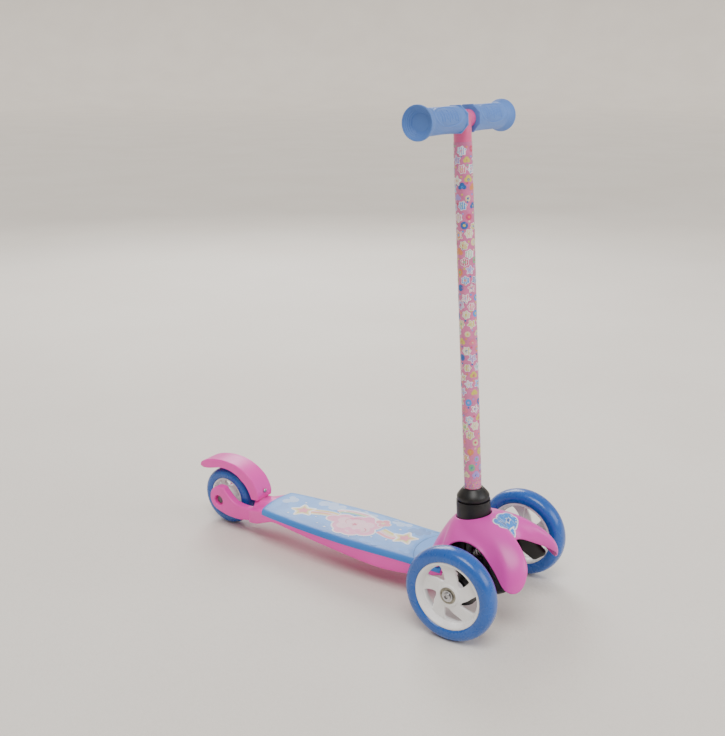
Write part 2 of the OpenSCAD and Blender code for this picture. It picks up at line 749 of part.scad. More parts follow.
// Rim with a dished web and five swept openings. +Z is the side that faces outward.
module rim(r_out, w, hub_r, hub_z, web_in, web_out, seat_r) {
    seat = 3.05;
    difference() {
        union() {
            rotate_extrude($fn = 96) polygon([
                [r_out - 6.5, -w * 0.42], [r_out - 1, -w * 0.42], [r_out - 0.2, -w * 0.345],
                [r_out - seat, -w * 0.305], [r_out - seat, w * 0.305], [r_out - 0.2, w * 0.345],
                [r_out - 1, w * 0.42], [r_out - 3.5, w * 0.42], [r_out - 6.5, web_out + 4],
                [r_out - 6.5, web_out - 4]]);
            rotate_extrude($fn = 96) polygon([
                [hub_r - 3, web_in - 4], [hub_r - 3, web_in], [r_out - 5, web_out + 2.2],
                [r_out - 5, web_out - 2.2]]);
            translate([0, 0, hub_z[0]]) cylinder(r = hub_r, h = hub_z[1] - hub_z[0]);
        }
        translate([0, 0, hub_z[0] - 1]) cylinder(r = 8, h = 40);
        for (z = [hub_z[0], hub_z[1] - 7]) translate([0, 0, z - (z < 0 ? 1 : 0)])
            cylinder(r = seat_r, h = 8);
        for (k = [0 : 4]) rotate(72 * k + 46) translate([0, 0, -w])
            linear_extrude(2 * w) polygon(concat(
                [for (a = [-21 : 7 : 21]) polar(r_out - 7.5, a)],
                [polar((r_out + hub_r) / 2, 10), polar(hub_r + 5.5, -9), polar(hub_r + 5, -26),
                 polar((r_out + hub_r) / 2, -24)]));
    }
}

module front_tyre() { tyre(front_wheel_d / 2, front_rim_d / 2, front_tyre_w); }
module front_rim() {
    rim(front_rim_d / 2, front_tyre_w, 13.5, [-11, 8.5], 7, -1, 11);
}

// Two 608 bearings at the ends of a hub
module bearings(z_low, z_high) {
    for (z = [z_low, z_high]) translate([0, 0, z]) {
        tube(11, 8.6, 7);
        tube(5.9, m8_r + running, 7);
        translate([0, 0, 0.8]) tube(8.6, 5.9, 5.4);
    }
}

module front_left_tyre() { color(blue) wheel_side(1) front_tyre(); }
module front_left_rim() { color("white") wheel_side(1) front_rim(); }
module front_left_bearings() { color(steel) wheel_side(1) bearings(-11, 1.5); }
module front_right_tyre() { color(blue) wheel_side(-1) front_tyre(); }
module front_right_rim() { color("white") wheel_side(-1) front_rim(); }
module front_right_bearings() { color(steel) wheel_side(-1) bearings(-11, 1.5); }

rear_hub = 12;
module rear_tyre() { color(blue) at_rear_axle() tyre(rear_wheel_d / 2, rear_rim_d / 2, rear_tyre_w); }
module rear_rim() {
    r = rear_rim_d / 2;
    seat = rear_tyre_w * 0.345;
    color("white") at_rear_axle() difference() {
        union() {
            rotate_extrude() polygon([
                [r - 5, -9.5], [r - 0.8, -9.5], [r - 0.2, -seat], [r - 3.05, -seat + 1],
                [r - 3.05, seat - 1], [r - 0.2, seat], [r - 0.8, 9.5], [r - 5, 9.5]]);
            translate([0, 0, -2]) cylinder(r = r - 4, h = 4);
            translate([0, 0, -rear_hub]) cylinder(r = 13.5, h = 2 * rear_hub);
        }
        for (z = [-rear_hub - 1, rear_hub - 7]) translate([0, 0, z]) cylinder(r = 11, h = 8);
        translate([0, 0, -20]) cylinder(r = 8, h = 40);
        for (k = [0 : 4]) rotate(72 * k) translate([0, 0, -20]) linear_extrude(40)
            polygon(concat([for (a = [-28 : 7 : 28]) polar(r - 5.6, a)],
                [for (a = [24 : -12 : -24]) polar(14.8, a)]));
    }
}
module rear_bearings() { color(steel) at_rear_axle() bearings(-rear_hub, rear_hub - 7); }

module rear_axle_bolt() {
    color(steel) at_rear_axle() {
        translate([0, 0, -21]) cylinder(r = m8_r, h = 42);
        translate([0, 0, -fork_in - axle_wall - 4]) cylinder(r = 6.4, h = 4, $fn = 6);
    }
}

module rear_axle_nut() {
    color(steel) at_rear_axle() difference() {
        translate([0, 0, fork_in + axle_wall]) cylinder(r = 6.4, h = 4, $fn = 6);
        cylinder(r = m8_r, h = 21);
    }
}

module rear_axle_spacers() {
    color(steel) at_rear_axle() {
        for (z = [-fork_in, rear_hub]) translate([0, 0, z + 0.05])
            tube(6, m8_r + running, fork_in - rear_hub - 0.1);
        translate([0, 0, -rear_hub + 7]) tube(5.6, m8_r + running, 2 * rear_hub - 14);
    }
}

// ---------------------------------------------------------------- brake

brake_y = 391;
brake_z = 65;
brake_pin_r = 2.5;
lug_r = 4.2;
fender_half = 17;
// Crown of the fender along the middle, as [y, z], from the foot up and over to the tail
fender_crown = [[384, 57], [383, 63], [384, 70], [387.5, 78], [393, 86], [401, 93], [413, 100],
    [429, 105.5], [446, 107.5], [462, 107], [478, 104], [491, 99.5], [499, 94], [502, 88]];
// Lower edge of the side walls at the same stations
fender_edge = [[396, 56.5], [397.5, 60], [399.5, 64.5], [402, 69], [405, 73.5], [409, 78],
    [415, 82.5], [425, 89.5], [441, 94.5], [456, 94.8], [470, 91.5], [482, 88.5], [491, 87],
    [495, 85.5]];

// Direction out of the crown, as [y, z]
function crown_normal(t) =
    let (d = unit(spline_at(fender_crown, min(t + 0.3, len(fender_crown) - 1))
        - spline_at(fender_crown, max(t - 0.3, 0))))
    [-d[1], d[0]];

// One cross-section: down one wall, over the crown and down the other
function fender_section(t, inset) =
    let (c = spline_at(fender_crown, t) - inset * crown_normal(t), e = spline_at(fender_edge, t),
         n = len(fender_crown) - 1, taper = t > n - 3 ? 3.5 * pow((t - n + 3) / 3, 2) : 0,
         w = fender_half - taper - inset, d = c - e)
    [for (k = [8 : -1 : -8])
        let (u = abs(k) / 8, side = min(1, u * 1.45), f = pow(max(0, (u - 0.5) / 0.5), 1.6))
        [sign(k) * w * sin(90 * side), c[0] - d[0] * f, c[1] - d[1] * f]];

module brake_fender() {
    rows = [0 : 0.5 : len(fender_crown) - 1];
    color(pink) at_axle() difference() {
        union() {
            shell([for (t = rows) fender_section(t, 0)], [for (t = rows) fender_section(t, wall)],
                false);
            // hinge barrel, joined to the front of the fender
            translate([0, brake_y, brake_z]) rod_x(lug_r, -7.6, 7.6);
            block([-7.6, 385, brake_z - 3], [7.6, brake_y - 3, brake_z + 5.5]);
        }
        translate([0, brake_y, brake_z]) rod_x(brake_pin_r + running, -20, 20);
        translate([0, 0, brake_screw_z]) rod_y(1.5, 380, 387);
    }
}

brake_screw_z = 68;
// Dome-headed screw on the front of the fender
module brake_screw() {
    color(steel) at_axle() translate([0, 383.1, brake_screw_z]) rotate([90, 0, 0]) rotate_extrude()
        polygon([[0, -3.5], [1.5, -3.5], [1.5, 0.2], [3.7, 0.2], [3.5, 1], [2.7, 1.8], [1.4, 2.3],
            [0, 2.4]]);
}

module brake_pin() {
    color(steel) at_axle() translate([0, brake_y, brake_z]) rod_x(brake_pin_r, -13.4, 13.4);
}

module brake_spring() {
    color(steel) at_axle() translate([0, brake_y, brake_z]) both_sides()
        for (x = [12.2, 12.9]) translate([x, 0, 0]) rotate([0, 90, 0]) tube(3.8, 2.7, 0.5);
}

deck_base();
deck_walls();
rear_fork();
deck_plate();
deck_print();
front_cover();
steering_frame();
collar_ring();
stem_tube();
printed_sleeve();
handlebar_tube();
left_grip();
right_grip();
snap_button();
snap_button_spring();
lean_pivot_bolt();
lean_pivot_nut();
drive_pin();
centring_springs();
cover_screws();
frame_screws();
front_truck();
lean_bushes();
kingpins();
tie_rod();
left_knuckle();
right_knuckle();
left_axle_bolt();
right_axle_bolt();
left_axle_spacers();
right_axle_spacers();
front_left_tyre();
front_left_rim();
front_left_bearings();
front_right_tyre();
front_right_rim();
front_right_bearings();
rear_tyre();
rear_rim();
rear_bearings();
rear_axle_bolt();
rear_axle_nut();
rear_axle_spacers();
brake_fender();
brake_screw();
brake_pin();
brake_spring();
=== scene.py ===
"""Looks for a child's three-wheel kick scooter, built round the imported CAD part.

Meshes are drawn in millimetres from the middle of the front axle, x to the rider's left and
y toward the back, and `to_row` moves them into the row frame in metres.
"""

import math
import random

import bmesh
import bpy
import numpy as np
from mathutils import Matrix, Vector
from mathutils.bvhtree import BVHTree
from mathutils.geometry import delaunay_2d_cdt


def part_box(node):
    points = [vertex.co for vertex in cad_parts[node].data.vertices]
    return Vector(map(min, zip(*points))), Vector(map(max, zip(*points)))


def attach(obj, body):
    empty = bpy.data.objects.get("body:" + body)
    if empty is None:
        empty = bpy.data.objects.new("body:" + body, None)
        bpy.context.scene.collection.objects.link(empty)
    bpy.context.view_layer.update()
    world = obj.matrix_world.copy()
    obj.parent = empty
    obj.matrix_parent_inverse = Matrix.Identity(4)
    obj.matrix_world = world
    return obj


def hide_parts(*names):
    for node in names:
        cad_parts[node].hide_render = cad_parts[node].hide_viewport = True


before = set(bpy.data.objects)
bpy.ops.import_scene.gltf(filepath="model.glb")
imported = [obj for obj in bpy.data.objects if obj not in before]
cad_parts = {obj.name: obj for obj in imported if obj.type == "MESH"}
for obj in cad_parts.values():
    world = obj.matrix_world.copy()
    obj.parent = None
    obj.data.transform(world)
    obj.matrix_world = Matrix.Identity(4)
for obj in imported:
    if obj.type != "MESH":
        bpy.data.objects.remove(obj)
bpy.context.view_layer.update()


def middle(node):
    low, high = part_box(node)
    return np.array((low + high) / 2) * 1000


AXLE_Y = middle("front_left_tyre")[1]
HALF_TRACK = middle("front_left_tyre")[0]
FRONT_Z = middle("front_left_tyre")[2]
FRONT_R = 62.5
REAR_Y = middle("rear_tyre")[1] - AXLE_Y
REAR_Z = middle("rear_tyre")[2]
REAR_R = 45
BAR_Z = middle("handlebar_tube")[2]
BAR_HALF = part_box("left_grip")[1].x * 1000
DECK_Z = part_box("deck_plate")[1].z * 1000
LEAN = math.radians(3.84)
FOOT_Y = 17.1


def to_row(points):
    points = np.array(points, float).reshape(-1, 3)
    points[:, 1] += AXLE_Y
    return points / 1000


def on_stem(points):
    """Points drawn round the stem's axis, z up along it from the ground plane."""
    p = np.array(points, float).reshape(-1, 3)
    c, s = math.cos(LEAN), math.sin(LEAN)
    return np.stack([p[:, 0], FOOT_Y + p[:, 1] * c + p[:, 2] * s, p[:, 2] * c - p[:, 1] * s], 1)


# ---- materials


def nodes_of(name):
    mat = bpy.data.materials.new(name)
    mat.use_nodes = True
    tree = mat.node_tree
    return mat, tree, tree.nodes["Principled BSDF"]


def noise(tree, scale, detail=3.0, coordinates=None):
    tex = tree.nodes.new("ShaderNodeTexNoise")
    tex.inputs["Scale"].default_value = scale
    tex.inputs["Detail"].default_value = detail
    if coordinates is None:
        coordinates = tree.nodes.new("ShaderNodeTexCoord").outputs["Object"]
    tree.links.new(coordinates, tex.inputs["Vector"])
    return tex.outputs["Fac"]


def ramp(tree, value, low, high, to_low, to_high):
    node = tree.nodes.new("ShaderNodeMapRange")
    for name, number in (("From Min", low), ("From Max", high), ("To Min", to_low), ("To Max", to_high)):
        node.inputs[name].default_value = number
    tree.links.new(value, node.inputs["Value"])
    return node.outputs["Result"]


def mix(tree, factor, a, b):
    node = tree.nodes.new("ShaderNodeMix")
    node.data_type = "RGBA"
    tree.links.new(factor, node.inputs["Factor"])
    for socket, colour in ((node.inputs["A"], a), (node.inputs["B"], b)):
        if isinstance(colour, (tuple, list)):
            socket.default_value = (*colour, 1)
        else:
            tree.links.new(colour, socket)
    return node.outputs["Result"]


def surface(tree, shader, rough, grain, bump, cloud=14):
    """Roughness that wanders a little, and a fine grain in the surface."""
    wander = ramp(tree, noise(tree, cloud * 3), 0.3, 0.7, rough - 0.035, rough + 0.045)
    tree.links.new(wander, shader.inputs["Roughness"])
    relief = tree.nodes.new("ShaderNodeBump")
    relief.inputs["Strength"].default_value = 1
    relief.inputs["Distance"].default_value = bump / 1000
    tree.links.new(noise(tree, grain, 2), relief.inputs["Height"])
    tree.links.new(relief.outputs["Normal"], shader.inputs["Normal"])


def finish_of(name, colour, rough=0.4, shade=0.12, grain=900, bump=0.02, metallic=0.0, coat=0.0,
              cloud=14, speckle=0.0):
    """A moulded, painted or plated finish with soft colour drift, fine grain and light wear."""
    mat, tree, shader = nodes_of(name)
    dark = tuple(c * (1 - shade) for c in colour)
    light = tuple(min(1, c * (1 + shade * 0.5)) for c in colour)
    tone = mix(tree, ramp(tree, noise(tree, cloud), 0.35, 0.65, 0, 1), dark, light)
    if speckle:
        dust = ramp(tree, noise(tree, 1400, 1), 0.68, 0.75, 0, speckle)
        tone = mix(tree, dust, tone, tuple(min(1, c + 0.25) for c in colour))
    tree.links.new(tone, shader.inputs["Base Color"])
    shader.inputs["Metallic"].default_value = metallic
    shader.inputs["Coat Weight"].default_value = coat
    shader.inputs["Coat Roughness"].default_value = 0.12
    surface(tree, shader, rough, grain, bump, cloud)
    return mat


def axis_value(tree, axis):
    split = tree.nodes.new("ShaderNodeSeparateXYZ")
    tree.links.new(tree.nodes.new("ShaderNodeTexCoord").outputs["Object"], split.inputs[0])
    return split.outputs[axis]


def deck_blue(name, rough):
    """Blue, deeper toward the deck's near side and paler toward its far side: painted shade and painted
    light for the deck's curvature, laid over the print's own gradient.
    """
    mat, tree, shader = nodes_of(name)
    across = tree.nodes.new("ShaderNodeMath")
    across.operation = "ADD"
    shift = ramp(tree, noise(tree, 18), 0.3, 0.7, -0.004, 0.004)
    tree.links.new(axis_value(tree, "X"), across.inputs[0])
    tree.links.new(shift, across.inputs[1])
    near = ramp(tree, across.outputs[0], -0.047, -0.018, 1, 0)
    far = ramp(tree, across.outputs[0], 0.024, 0.05, 0, 1)
    # darker blue toward the near side is painted shade and paler blue toward the far side is painted light,
    # both over the print's gradient
    tone = mix(tree, near, (0.09, 0.34, 0.84), (0.035, 0.19, 0.58))
    tone = mix(tree, far, tone, (0.17, 0.43, 0.89))
    tree.links.new(tone, shader.inputs["Base Color"])
    surface(tree, shader, rough, 1500, 0.02)
    return mat


PINK = finish_of("pink_plastic", (0.88, 0.06, 0.48), 0.36, 0.07)
COVER = finish_of("cover_plastic", (0.74, 0.055, 0.46), 0.33, 0.07)
BLACK = finish_of("black_plastic", (0.006, 0.006, 0.007), 0.42, 0.3, 1200, 0.03)
PAINT = finish_of("pink_paint", (0.80, 0.10, 0.30), 0.24, 0.06, coat=0.5, speckle=0.25)
FILM = finish_of("stem_film", (0.66, 0.16, 0.36), 0.2, 0.12, coat=0.4, speckle=0.6, cloud=120)
GRIP = finish_of("grip_rubber", (0.10, 0.23, 0.62), 0.5, 0.1, 1500, 0.05)
TYRE = finish_of("tyre_blue", (0.012, 0.10, 0.43), 0.27, 0.08, coat=0.25, cloud=25)
WHITE = finish_of("rim_white", (0.88, 0.88, 0.89), 0.3, 0.04, cloud=40)
STEEL = finish_of("steel", (0.52, 0.52, 0.54), 0.3, 0.18, 2000, 0.03, 1.0, cloud=160)
# steel darkened with painted shade for the deep recesses round the rear axle's bolt head and nut
RECESS_SHADED_STEEL = finish_of("steel_with_painted_recess_shade", (0.14, 0.14, 0.15), 0.4, 0.18, 2000, 0.03, 1.0, cloud=160)
BRASS = finish_of("bearing_shield", (0.36, 0.34, 0.28), 0.36, 0.3, 1800, 0.03, 1.0, cloud=200)
SPRING = finish_of("spring_steel", (0.62, 0.62, 0.64), 0.22, 0.15, 1500, 0.01, 1.0, cloud=300)
NYLON = finish_of("bush_nylon", (0.62, 0.52, 0.34), 0.5, 0.1)
BLUE = deck_blue("deck_blue", 0.42)
PANEL = deck_blue("deck_graphic", 0.36)
SEAM = finish_of("seam_shadow", (0.03, 0.10, 0.26), 0.6, 0.2)


def ink(name, colour):
    return finish_of("ink_" + name, colour, 0.34, 0.08, 1500, 0.01, cloud=60)


INK = {
    "white": ink("white", (0.86, 0.86, 0.90)),
    "pink": ink("pink", (0.78, 0.17, 0.28)),
    "rose": ink("rose", (0.80, 0.23, 0.45)),
    "deep": ink("deep", (0.62, 0.04, 0.16)),
    "blush": ink("blush", (0.80, 0.45, 0.57)),
    "yellow": ink("yellow", (0.65, 0.55, 0.10)),
    "cream": ink("cream", (0.72, 0.65, 0.37)),
    "orange": ink("orange", (0.75, 0.26, 0.10)),
    "green": ink("green", (0.16, 0.48, 0.26)),
    "blue": ink("blue", (0.03, 0.13, 0.45)),
    "sky": ink("sky", (0.05, 0.28, 0.78)),
    "lilac": ink("lilac", (0.39, 0.28, 0.72)),
    "pale": ink("pale", (0.37, 0.55, 0.89)),
    "shade": ink("shade", (0.06, 0.23, 0.60)),
}

# ---- mesh helpers


def add(name, verts, faces, materials, body, replaces=(), index=None, sharp=38):
    """One piece from points in the front-axle frame."""
    mesh = bpy.data.meshes.new(name)
    mesh.from_pydata(to_row(verts).tolist(), [], [[int(i) for i in f] for f in faces])
    materials = materials if isinstance(materials, list) else [materials]
    for m in materials:
        mesh.materials.append(m)
    if index is not None:
        mesh.polygons.foreach_set("material_index", np.array(index, np.int32))
    work = bmesh.new()
    work.from_mesh(mesh)
    bmesh.ops.remove_doubles(work, verts=work.verts, dist=2e-6)
    bmesh.ops.recalc_face_normals(work, faces=work.faces)
    work.to_mesh(mesh)
    work.free()
    mesh.polygons.foreach_set("use_smooth", [True] * len(mesh.polygons))
    mesh.set_sharp_from_angle(angle=math.radians(sharp))
    piece = bpy.data.objects.new(name, mesh)
    bpy.context.scene.collection.objects.link(piece)
    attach(piece, body)
    if replaces:
        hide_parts(*replaces)
    return piece


def joined(*parts):
    """Several (verts, faces) as one."""
    verts, faces, base = [], [], 0
    for v, f in parts:
        v = np.array(v, float).reshape(-1, 3)
        verts.append(v)
        faces += [[i + base for i in face] for face in f]
        base += len(v)
    return np.vstack(verts), faces


def strip(rings, loop=True, ends=False):
    """Faces between rings of equal length; ends closes the first and the last ring."""
    rings = [np.array(r, float) for r in rings]
    n = len(rings[0])
    span = n if loop else n - 1
    faces = [
        [i * n + j, i * n + (j + 1) % n, (i + 1) * n + (j + 1) % n, (i + 1) * n + j]
        for i in range(len(rings) - 1)
        for j in range(span)
    ]
    if ends:
        faces += [list(range(n))[::-1], [(len(rings) - 1) * n + j for j in range(n)]]
    return np.vstack(rings), faces


def spline(points, per=6):
    """Smooth open curve through the points."""
    p = np.array(points, float)
    p = np.vstack([2 * p[0] - p[1], p, 2 * p[-1] - p[-2]])
    out = []
    for i in range(1, len(p) - 2):
        for u in np.arange(per) / per:
            out.append(catmull(p[i - 1], p[i], p[i + 1], p[i + 2], u))
    out.append(p[-2])
    return np.array(out)


def catmull(a, b, c, d, u):
    return 0.5 * (2 * b + (c - a) * u + (2 * a - 5 * b + 4 * c - d) * u * u
                  + (3 * b - a - 3 * c + d) * u ** 3)


def at(table, x):
    """Value at x of the smooth curve through (x, value) pairs."""
    x = min(max(x, table[0][0]), table[-1][0])
    i = max(k for k in range(len(table) - 1) if table[k][0] <= x)
    v = [row[1] for row in table]
    u = (x - table[i][0]) / (table[i + 1][0] - table[i][0])
    return catmull(v[max(i - 1, 0)], v[i], v[i + 1], v[min(i + 2, len(v) - 1)], u)


def rounded(loop, times=3):
    """Closed loop with its corners cut until they look round."""
    p = np.array(loop, float)
    for _ in range(times):
        q = np.roll(p, -1, axis=0)
        p = np.stack([0.75 * p + 0.25 * q, 0.25 * p + 0.75 * q], 1).reshape(-1, p.shape[1])
    return p


def around(cx, cy, rx, ry, angles):
    """Points on an ellipse at the given angles in radians."""
    return [(cx + rx * math.cos(a), cy + ry * math.sin(a)) for a in angles]


def area_of(loop):
    q = np.roll(loop, -1, axis=0)
    return 0.5 * float(np.sum(loop[:, 0] * q[:, 1] - q[:, 0] * loop[:, 1]))


def inset(loop, d):
    """Anticlockwise loop moved inward by d, or outward when d is negative."""
    t = np.roll(loop, -1, axis=0) - np.roll(loop, 1, axis=0)
    t /= np.linalg.norm(t, axis=1, keepdims=True)
    return loop + d * np.stack([-t[:, 1], t[:, 0]], 1)


def inside(points, loop):
    x, y = points[:, 0], points[:, 1]
    hit = np.zeros(len(points), bool)
    for a, b in zip(loop, np.roll(loop, -1, axis=0)):
        if a[1] == b[1]:
            continue
        crosses = (a[1] > y) != (b[1] > y)
        hit ^= crosses & (x < (b[0] - a[0]) * (y - a[1]) / (b[1] - a[1]) + a[0])
    return hit


def fill(outer, holes=(), step=3.0):
    """Triangles inside a loop and outside the holes, with inner points every step. Loops come first."""
    loops = [outer, *holes]
    points, edges = [], []
    for loop in loops:
        k = len(points)
        points += [tuple(p) for p in loop]
        edges += [(k + i, k + (i + 1) % len(loop)) for i in range(len(loop))]
    low, high = outer.min(0), outer.max(0)
    grid = np.meshgrid(*(np.arange(a + step / 2, b, step) for a, b in zip(low, high)))
    grid = np.stack([axis.ravel() for axis in grid], 1)
    if len(grid):
        keep = inside(grid, inset(outer, step * 0.35))
        for h in holes:
            keep &= ~inside(grid, inset(h, -step * 0.35))
        points += [tuple(p) for p in grid[keep]]
    out, _, tris, original, _, _ = delaunay_2d_cdt([Vector(p) for p in points], edges, [], 0, 1e-6)
    flat = np.array([tuple(p) for p in out])
    centres = np.array([flat[list(t)].mean(0) for t in tris])
    good = inside(centres, outer)
    for h in holes:
        good &= ~inside(centres, h)
    where = {i: k for k, origin in enumerate(original) for i in origin}
    rims, k = [], 0
    for loop in loops:
        rims.append([where[k + i] for i in range(len(loop))])
        k += len(loop)
    return flat, [list(t) for t, g in zip(tris, good) if g], rims


def band(a, b):
    """Faces between two closed rings of point numbers."""
    n = len(a)
    return [[a[i], a[(i + 1) % n], b[(i + 1) % n], b[i]] for i in range(n)]


def plate(outer, holes, front, back, bevel, step=4.0, turns=4):
    """Solid between two height functions with rounded edges. Returns points as (u, v, w)."""
    loops = [np.array(l, float) for l in [outer, *holes]]
    loops = [l if area_of(l) > 0 else l[::-1] for l in loops]
    signs = [1] + [-1] * len(holes)
    flat, tris, rims = fill(inset(loops[0], bevel), [inset(h, -bevel) for h in loops[1:]], step)
    n = len(flat)
    verts = [(p[0], p[1], front(*p)) for p in flat] + [(p[0], p[1], back(*p)) for p in flat]
    faces = tris + [[i + n for i in t[::-1]] for t in tris]
    for loop, sign, rim in zip(loops, signs, rims):
        previous = rim
        angles = [math.radians(90 * k / turns) for k in range(1, turns + 1)]
        rings = [(bevel * (1 - math.sin(a)), bevel * (1 - math.cos(a)), 1) for a in angles]
        rings += [(d, drop, -1) for d, drop, _ in rings[::-1]]
        for d, drop, side in rings:
            base = len(verts)
            for p in inset(loop, sign * d):
                verts.append((p[0], p[1], front(*p) - drop if side > 0 else back(*p) + drop))
            ring = [base + i for i in range(len(loop))]
            faces += band(previous, ring)
            previous = ring
        faces += band(previous, [i + n for i in rim])
    return np.array(verts), faces


def lathe(profile, n=160):
    """Profile of (radius, height) turned round z. Returns points as (x, y, z)."""
    rings = []
    for r, z in profile:
        a = np.arange(n) * 2 * math.pi / n
        rings.append(np.stack([max(r, 0.01) * np.cos(a), max(r, 0.01) * np.sin(a), np.full(n, z)], 1))
    return strip(rings)


def sweep(path, radius, n=14):
    """Round wire along a path of points."""
    path = np.array(path, float)
    tangent = np.gradient(path, axis=0)
    tangent /= np.linalg.norm(tangent, axis=1, keepdims=True)
    side = np.cross(tangent[0], [0.3, 0.2, 1.0])
    rings = []
    for p, t in zip(path, tangent):
        side = side - np.dot(side, t) * t
        side /= np.linalg.norm(side)
        up = np.cross(t, side)
        a = np.arange(n) * 2 * math.pi / n
        rings.append(p + radius * (np.outer(np.cos(a), side) + np.outer(np.sin(a), up)))
    return strip(rings, ends=True)


def coil(x0, x1, turns, radius, wire, centre):
    """Helical spring along x with its end turns closed."""
    steps = int(turns * 28)
    t = np.linspace(0, 1, steps)
    ease = np.clip((t * turns - 0.8) / (turns - 1.6), 0, 1)
    angle = t * turns * 2 * math.pi
    end = math.copysign(wire, x1 - x0)
    along = x0 + end + (x1 - x0 - 2 * end) * ease
    y, z = centre[0] + radius * np.cos(angle), centre[1] + radius * np.sin(angle)
    return sweep(np.stack([along, y, z], 1), wire)


# ---- wheels


def wheel_point(side, p):
    """(u, v, w) on a wheel seen from outside, u forward and w outward, in the front-axle frame."""
    p = np.array(p, float).reshape(-1, 3)
    return np.stack([side * (HALF_TRACK + p[:, 2]), -p[:, 0], FRONT_Z + p[:, 1]], 1)


def rear_point(p):
    p = np.array(p, float).reshape(-1, 3)
    return np.stack([p[:, 2], REAR_Y - p[:, 0], REAR_Z + p[:, 1]], 1)


def polar(r, a):
    return [r * math.cos(math.radians(a)), r * math.sin(math.radians(a))]


def tyre(outer, seat, half):
    """Smooth urethane tyre: section from the seat over a full crown."""
    h = outer - seat
    key = [(seat - 2.9, half * 0.58), (seat - 0.05, half * 0.68), (seat + 0.3, half * 0.80),
           (seat + h * 0.10, half * 0.93), (seat + h * 0.26, half * 0.985), (seat + h * 0.46, half * 0.985),
           (seat + h * 0.66, half * 0.90), (seat + h * 0.83, half * 0.73), (seat + h * 0.945, half * 0.46),
           (seat + h * 0.99, half * 0.2), (outer - 0.02, 0)]
    side = spline(key, 5)
    profile = np.vstack([side, (side * [1, -1])[::-1][1:]])
    return lathe(np.vstack([profile, profile[:1]]), 192)


def openings(hub, rim, count=5, start=136, swept=True):
    out = []
    for k in range(count):
        c = start + 72 * k
        if swept:
            loop = [polar(rim, c + a) for a in (-21, -14, -7, 0, 7, 14, 20)]
            mid = (rim + hub) / 2
            loop += [polar(mid + 2, c + 13), polar(mid - 3, c + 3), polar(hub + 0.6, c - 9)]
            loop += [polar(hub - 0.4, c - 17), polar(hub, c - 27), polar(mid, c - 25)]
        else:
            loop = [polar(rim, c + a) for a in (-25, -15, -5, 5, 15, 25)]
            loop += [polar(hub, c + a) for a in (18, 0, -18)]
        out.append(rounded(loop, 3))
    return out


def front_web(x, y):
    """Height of the rim's dished web."""
    r = math.hypot(x, y)
    t = min(1, max(0, (r - 11) / 28))
    return 7.2 - 5.4 * t ** 0.85


def front_wheel(side, name, knuckle):
    wheel = name + "_wheel"
    v, f = tyre(FRONT_R, 45.1, 13.4)
    add(name + "_tyre_skin", wheel_point(side, v), f, TYRE, wheel, [name + "_tyre"], sharp=60)
    lip = [(45.0, 9.2), (45.35, 10.3), (45.1, 11.0), (44.4, 11.4), (43.2, 11.4)]
    ring = [(42.1, -8.1), (42.1, 8.1), *lip, (42.3, 10.9), (41.6, 9.4), (40.2, 5.2), (39.0, 2.2)]
    ring += [(38.9, -2.8), (41.4, -9.6), (42.3, -11.0), *[(r, -w) for r, w in lip[::-1]], (42.1, -8.1)]
    hub = [(11.05, 8.0), (11.3, 8.5), (13.2, 8.5), (14.0, 8.1), (14.6, 7.2), (15.2, 6.2), (15.4, 2.0),
           (13.9, 0.0), (13.5, -10.2), (12.8, -11), (11.3, -11), (11.05, -10.5), (11.05, -4.1), (8, -4.0),
           (8, 1.5), (11.05, 1.6), (11.05, 8.0)]
    circle = np.array([polar(40.4, a) for a in range(0, 360, 3)])
    centre = np.array([polar(12.2, a) for a in range(0, 360, 8)])
    holes = [centre, *openings(19, 37.9)]
    web = plate(circle, holes, front_web, lambda x, y: front_web(x, y) - 4.2, 0.9, 3.2)
    # thin ribs behind each spoke stiffen the web
    ribs = []
    for k in range(5):
        a = 166 + 72 * k
        path = [(*polar(r, a - (r - 14) * 0.25), front_web(r, 0) - 5.0) for r in (14, 20, 26, 32, 39)]
        ribs.append(sweep(path, 1.4, 10))
    v, f = joined(lathe(ring, 192), lathe(hub, 128), web, *ribs)
    add(name + "_rim_skin", wheel_point(side, v), f, WHITE, wheel, [name + "_rim"])
    bearing = [(10.9, 8.0), (10.9, 8.35), (10.6, 8.6), (9.4, 8.6), (9.1, 8.35), (8.9, 8.1), (6.6, 8.1),
               (6.4, 8.4), (4.2, 8.4), (4.1, 1.6), (10.9, 1.6), (10.9, 8.0)]
    back = [(10.9, -10.6), (10.6, -10.95), (9.2, -10.95), (8.9, -10.5), (6.4, -10.5), (6.2, -10.9),
            (4.2, -10.9), (4.1, -4.0), (10.9, -4.0), (10.9, -10.6)]
    v, f = joined(lathe(bearing, 96), lathe(back, 96))
    add(name + "_bearing_skin", wheel_point(side, v), f, BRASS, wheel, [name + "_bearings"])
    # axle bolt: toothed washer, domed head and a hexagon socket
    teeth = [polar(7.6 if i % 3 else 7.0, i * 5) for i in range(72)]
    washer = plate(np.array(teeth), [np.array([polar(4.2, a) for a in range(0, 360, 15)])],
                   lambda x, y: 9.9, lambda x, y: 8.65, 0.12, 3.0, 2)
    hexagon = []
    for k in range(6):
        a, b = np.array(polar(2.75, 60 * k)), np.array(polar(2.75, 60 * k + 60))
        hexagon += [a + (b - a) * u for u in (0, 0.25, 0.5, 0.75)]
    head = plate(np.array([polar(5.25, a) for a in range(0, 360, 6)]), [np.array(hexagon)],
                 lambda x, y: 13.1 - 0.035 * (x * x + y * y), lambda x, y: 9.8, 0.35, 1.2, 3)
    floor = lathe([(0.01, 10.8), (3.0, 10.8), (3.0, 9.9), (0.01, 9.9)], 24)
    shank = lathe([(0.01, 9.9), (3.95, 9.9), (3.95, -30.9), (0.01, -30.9)], 48)
    v, f = joined(washer, head, floor, shank)
    bolt = knuckle.replace("knuckle", "axle_bolt")
    add(name + "_bolt_skin", wheel_point(side, v), f, STEEL, knuckle, [bolt])


front_wheel(1, "front_left", "left_knuckle")
front_wheel(-1, "front_right", "right_knuckle")

